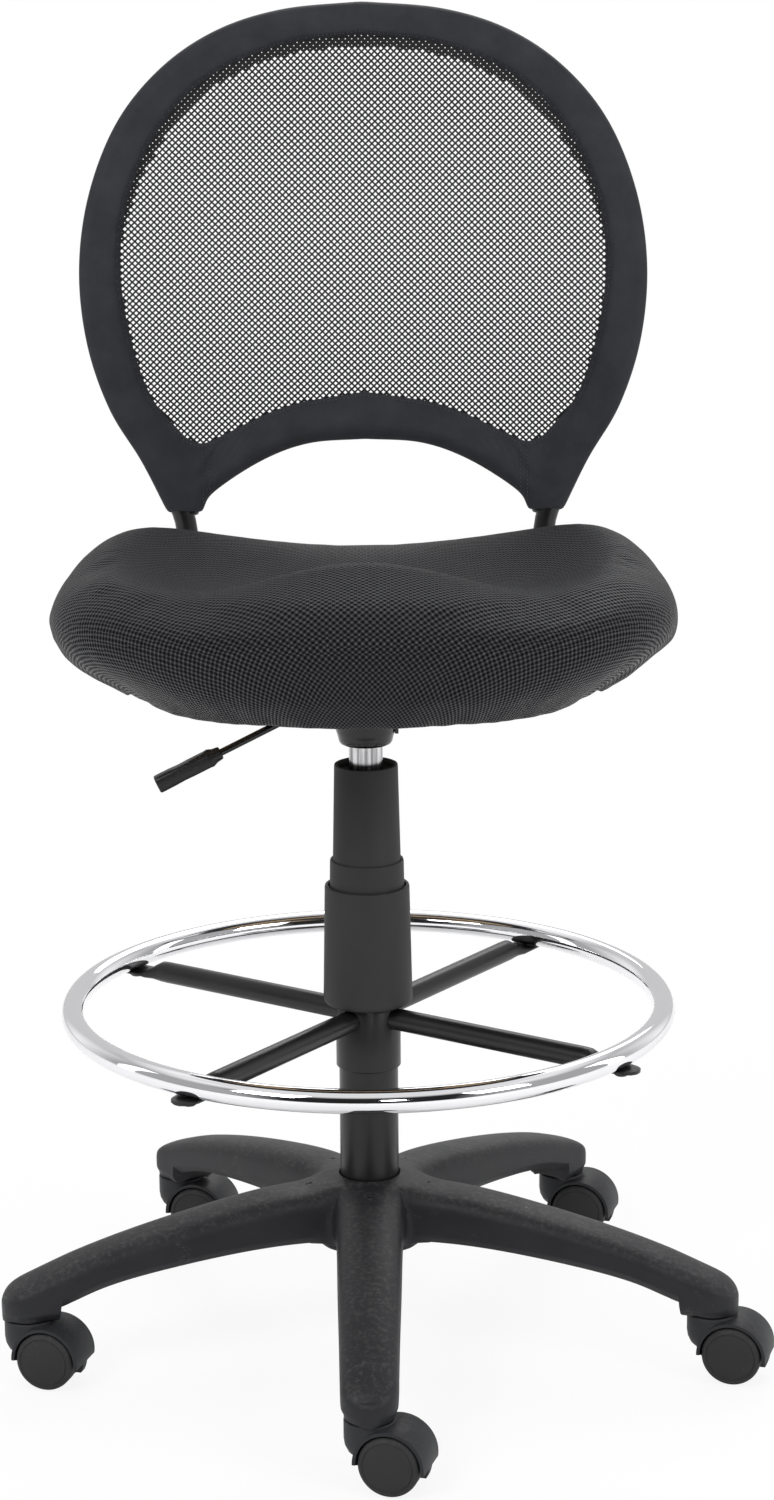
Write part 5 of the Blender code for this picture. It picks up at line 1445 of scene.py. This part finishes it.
def border_lift(side):
    """The cover's height over the middle surface at a place on it, for laying stitches."""
    lanes = list(zip(OUTER_LINE, WINDOW_LINE))

    def lift(x, z):
        best, share_there = 1.0, 1.0
        for (xo, zo), (xw, zw) in lanes:
            dx, dz = xw - xo, zw - zo
            t = clamp(((x - xo) * dx + (z - zo) * dz) / max(dx * dx + dz * dz, 1e-12))
            distance = hypot(x - xo - t * dx, z - zo - t * dz)
            if distance < best:
                best, share_there = distance, t
        return cover_reach(x, z, share_there, side) + 0.0002

    return lift


def stitching_piece():
    points, faces = [], []
    hem = inset_path(WINDOW_LINE + WINDOW_LINE[:1], -0.0026)
    corner_seams = []
    for sign in (-1.0, 1.0):
        for offset in (-0.0030, 0.0030):
            x = sign * (SEAM_X + offset)
            low_end = 0.6858 if offset < 0.0 else 0.6775
            corner_seams.append([(x, 0.7265), (x, 0.7120), (x, 0.6950), (x, low_end)])
    for side in (-1.0, 1.0):
        lift = border_lift(side)
        for route, pitch in [(hem, 0.0036)] + [(seam, 0.0034) for seam in corner_seams]:
            new_points, new_faces = stitch_run(route, pitch, side, lift)
            base = len(points)
            points += new_points
            faces += [tuple(base + index for index in face) for face in new_faces]
    stitches = clean(mesh_piece("back_stitching", points, faces), 0.000001)
    stitches.data.shade_smooth()
    return about_column(stitches)


dress(stitching_piece(), STITCH_THREAD, "back_knit", "seat")


# ---------------------------------------------------------------- studio and camera
def area_light(name, place, aim, size, power, size_y=None):
    bpy.ops.object.light_add(type="AREA", location=place)
    light = bpy.context.object
    light.name = name
    light.data.energy = power
    light.data.size = size
    if size_y:
        light.data.shape = "RECTANGLE"
        light.data.size_y = size_y
    light.rotation_euler = (Vector(aim) - Vector(place)).to_track_quat("-Z", "Y").to_euler()
    return light


ROOM_DARK = 0.02        # the room's light where nothing shines


def studio_world():
    """Plain white to the camera; as light, a soft room: bright at the sides and above, darker in front."""
    world = bpy.data.worlds.new("studio_world")
    world.use_nodes = True
    tree = world.node_tree
    way = add(tree, "ShaderNodeSeparateXYZ", {0: add(tree, "ShaderNodeTexCoord").outputs["Generated"]})
    sides = remap(tree, math(tree, "ABSOLUTE", way.outputs[0]), 0.50, 0.75, 0.0, 0.40)
    above = remap(tree, way.outputs[2], 0.62, 0.80, 0.0, 0.80)
    behind = remap(tree, way.outputs[1], 0.25, 0.70, 0.0, 0.62)
    room = math(tree, "ADD", math(tree, "ADD", sides, above), behind)
    room = math(tree, "MINIMUM", math(tree, "ADD", room, ROOM_DARK), 1.0)
    seen = add(tree, "ShaderNodeLightPath").outputs["Is Camera Ray"]
    level = math(tree, "MULTIPLY_ADD", seen, math(tree, "SUBTRACT", 1.0, room), room)
    tree.links.new(level, tree.nodes["Background"].inputs["Strength"])
    tree.nodes["Background"].inputs["Color"].default_value = (1.0, 1.0, 1.0, 1.0)
    bpy.context.scene.world = world


def studio_floor():
    """A white floor that fades into the white round it, and keeps a faint shadow near the chair."""
    deselect()
    bpy.ops.mesh.primitive_plane_add(size=24.0, location=(0.0, 0.0, -0.0004))
    floor = settle(bpy.context.object, "studio_floor")
    paper, tree, shader = finish("studio_paper", (0.90, 0.90, 0.90), 0.9, Specular_IOR_Level=0.1)
    away = add(tree, "ShaderNodeVectorMath", {0: place_on(tree)}, operation="LENGTH").outputs["Value"]
    fade = remap(tree, away, 0.4, 1.6, 0.88)
    seen = add(tree, "ShaderNodeLightPath").outputs["Is Camera Ray"]
    glow = add(tree, "ShaderNodeEmission", {"Strength": 1.0})
    blend = add(tree, "ShaderNodeMixShader", {0: times(tree, seen, fade), 1: shader.outputs[0], 2: glow.outputs[0]})
    tree.links.new(blend.outputs[0], tree.nodes["Material Output"].inputs["Surface"])
    floor.data.materials.append(paper)


def studio():
    studio_floor()
    studio_world()
    area_light("key_light", (-2.2, -2.6, 3.0), (0.0, 0.0, 0.6), 1.6, 70.0)
    area_light("fill_light", (2.6, -2.2, 2.2), (0.0, 0.0, 0.5), 1.4, 42.0)
    area_light("back_light", (0.4, 2.8, 2.8), (0.0, 0.1, 0.7), 2.0, 40.0)
    area_light("front_light", (0.5, -3.3, 1.5), (0.0, 0.0, 0.6), 0.5, 7.0)
    area_light("left_strip", (-3.0, 0.2, 1.1), (0.0, 0.0, 0.6), 0.5, 4.0, 2.2)
    area_light("right_strip", (3.0, 0.4, 1.1), (0.0, 0.0, 0.6), 0.5, 7.0, 2.2)


CAMERA_PLACE = Vector((0.0175, -2.8426, 1.2076)) + AXIS
CAMERA_PITCH = radians(90.0) - 0.2390
CAMERA_ROLL = radians(0.447)
CAMERA_LENS = 85.03


def front_camera():
    data = bpy.data.cameras.new("front_camera")
    data.lens = CAMERA_LENS
    data.sensor_width = 36.0
    data.sensor_fit = "AUTO"
    data.dof.use_dof = False
    data.clip_end = 60.0
    camera = bpy.data.objects.new("front_camera", data)
    bpy.context.scene.collection.objects.link(camera)
    turn = Matrix.Rotation(CAMERA_PITCH, 4, "X") @ Matrix.Rotation(-CAMERA_ROLL, 4, "Z")
    camera.matrix_world = Matrix.Translation(CAMERA_PLACE) @ turn
    bpy.context.scene.camera = camera


studio()
front_camera()
bpy.context.scene.view_settings.view_transform = "Standard"

bpy.context.view_layer.update()
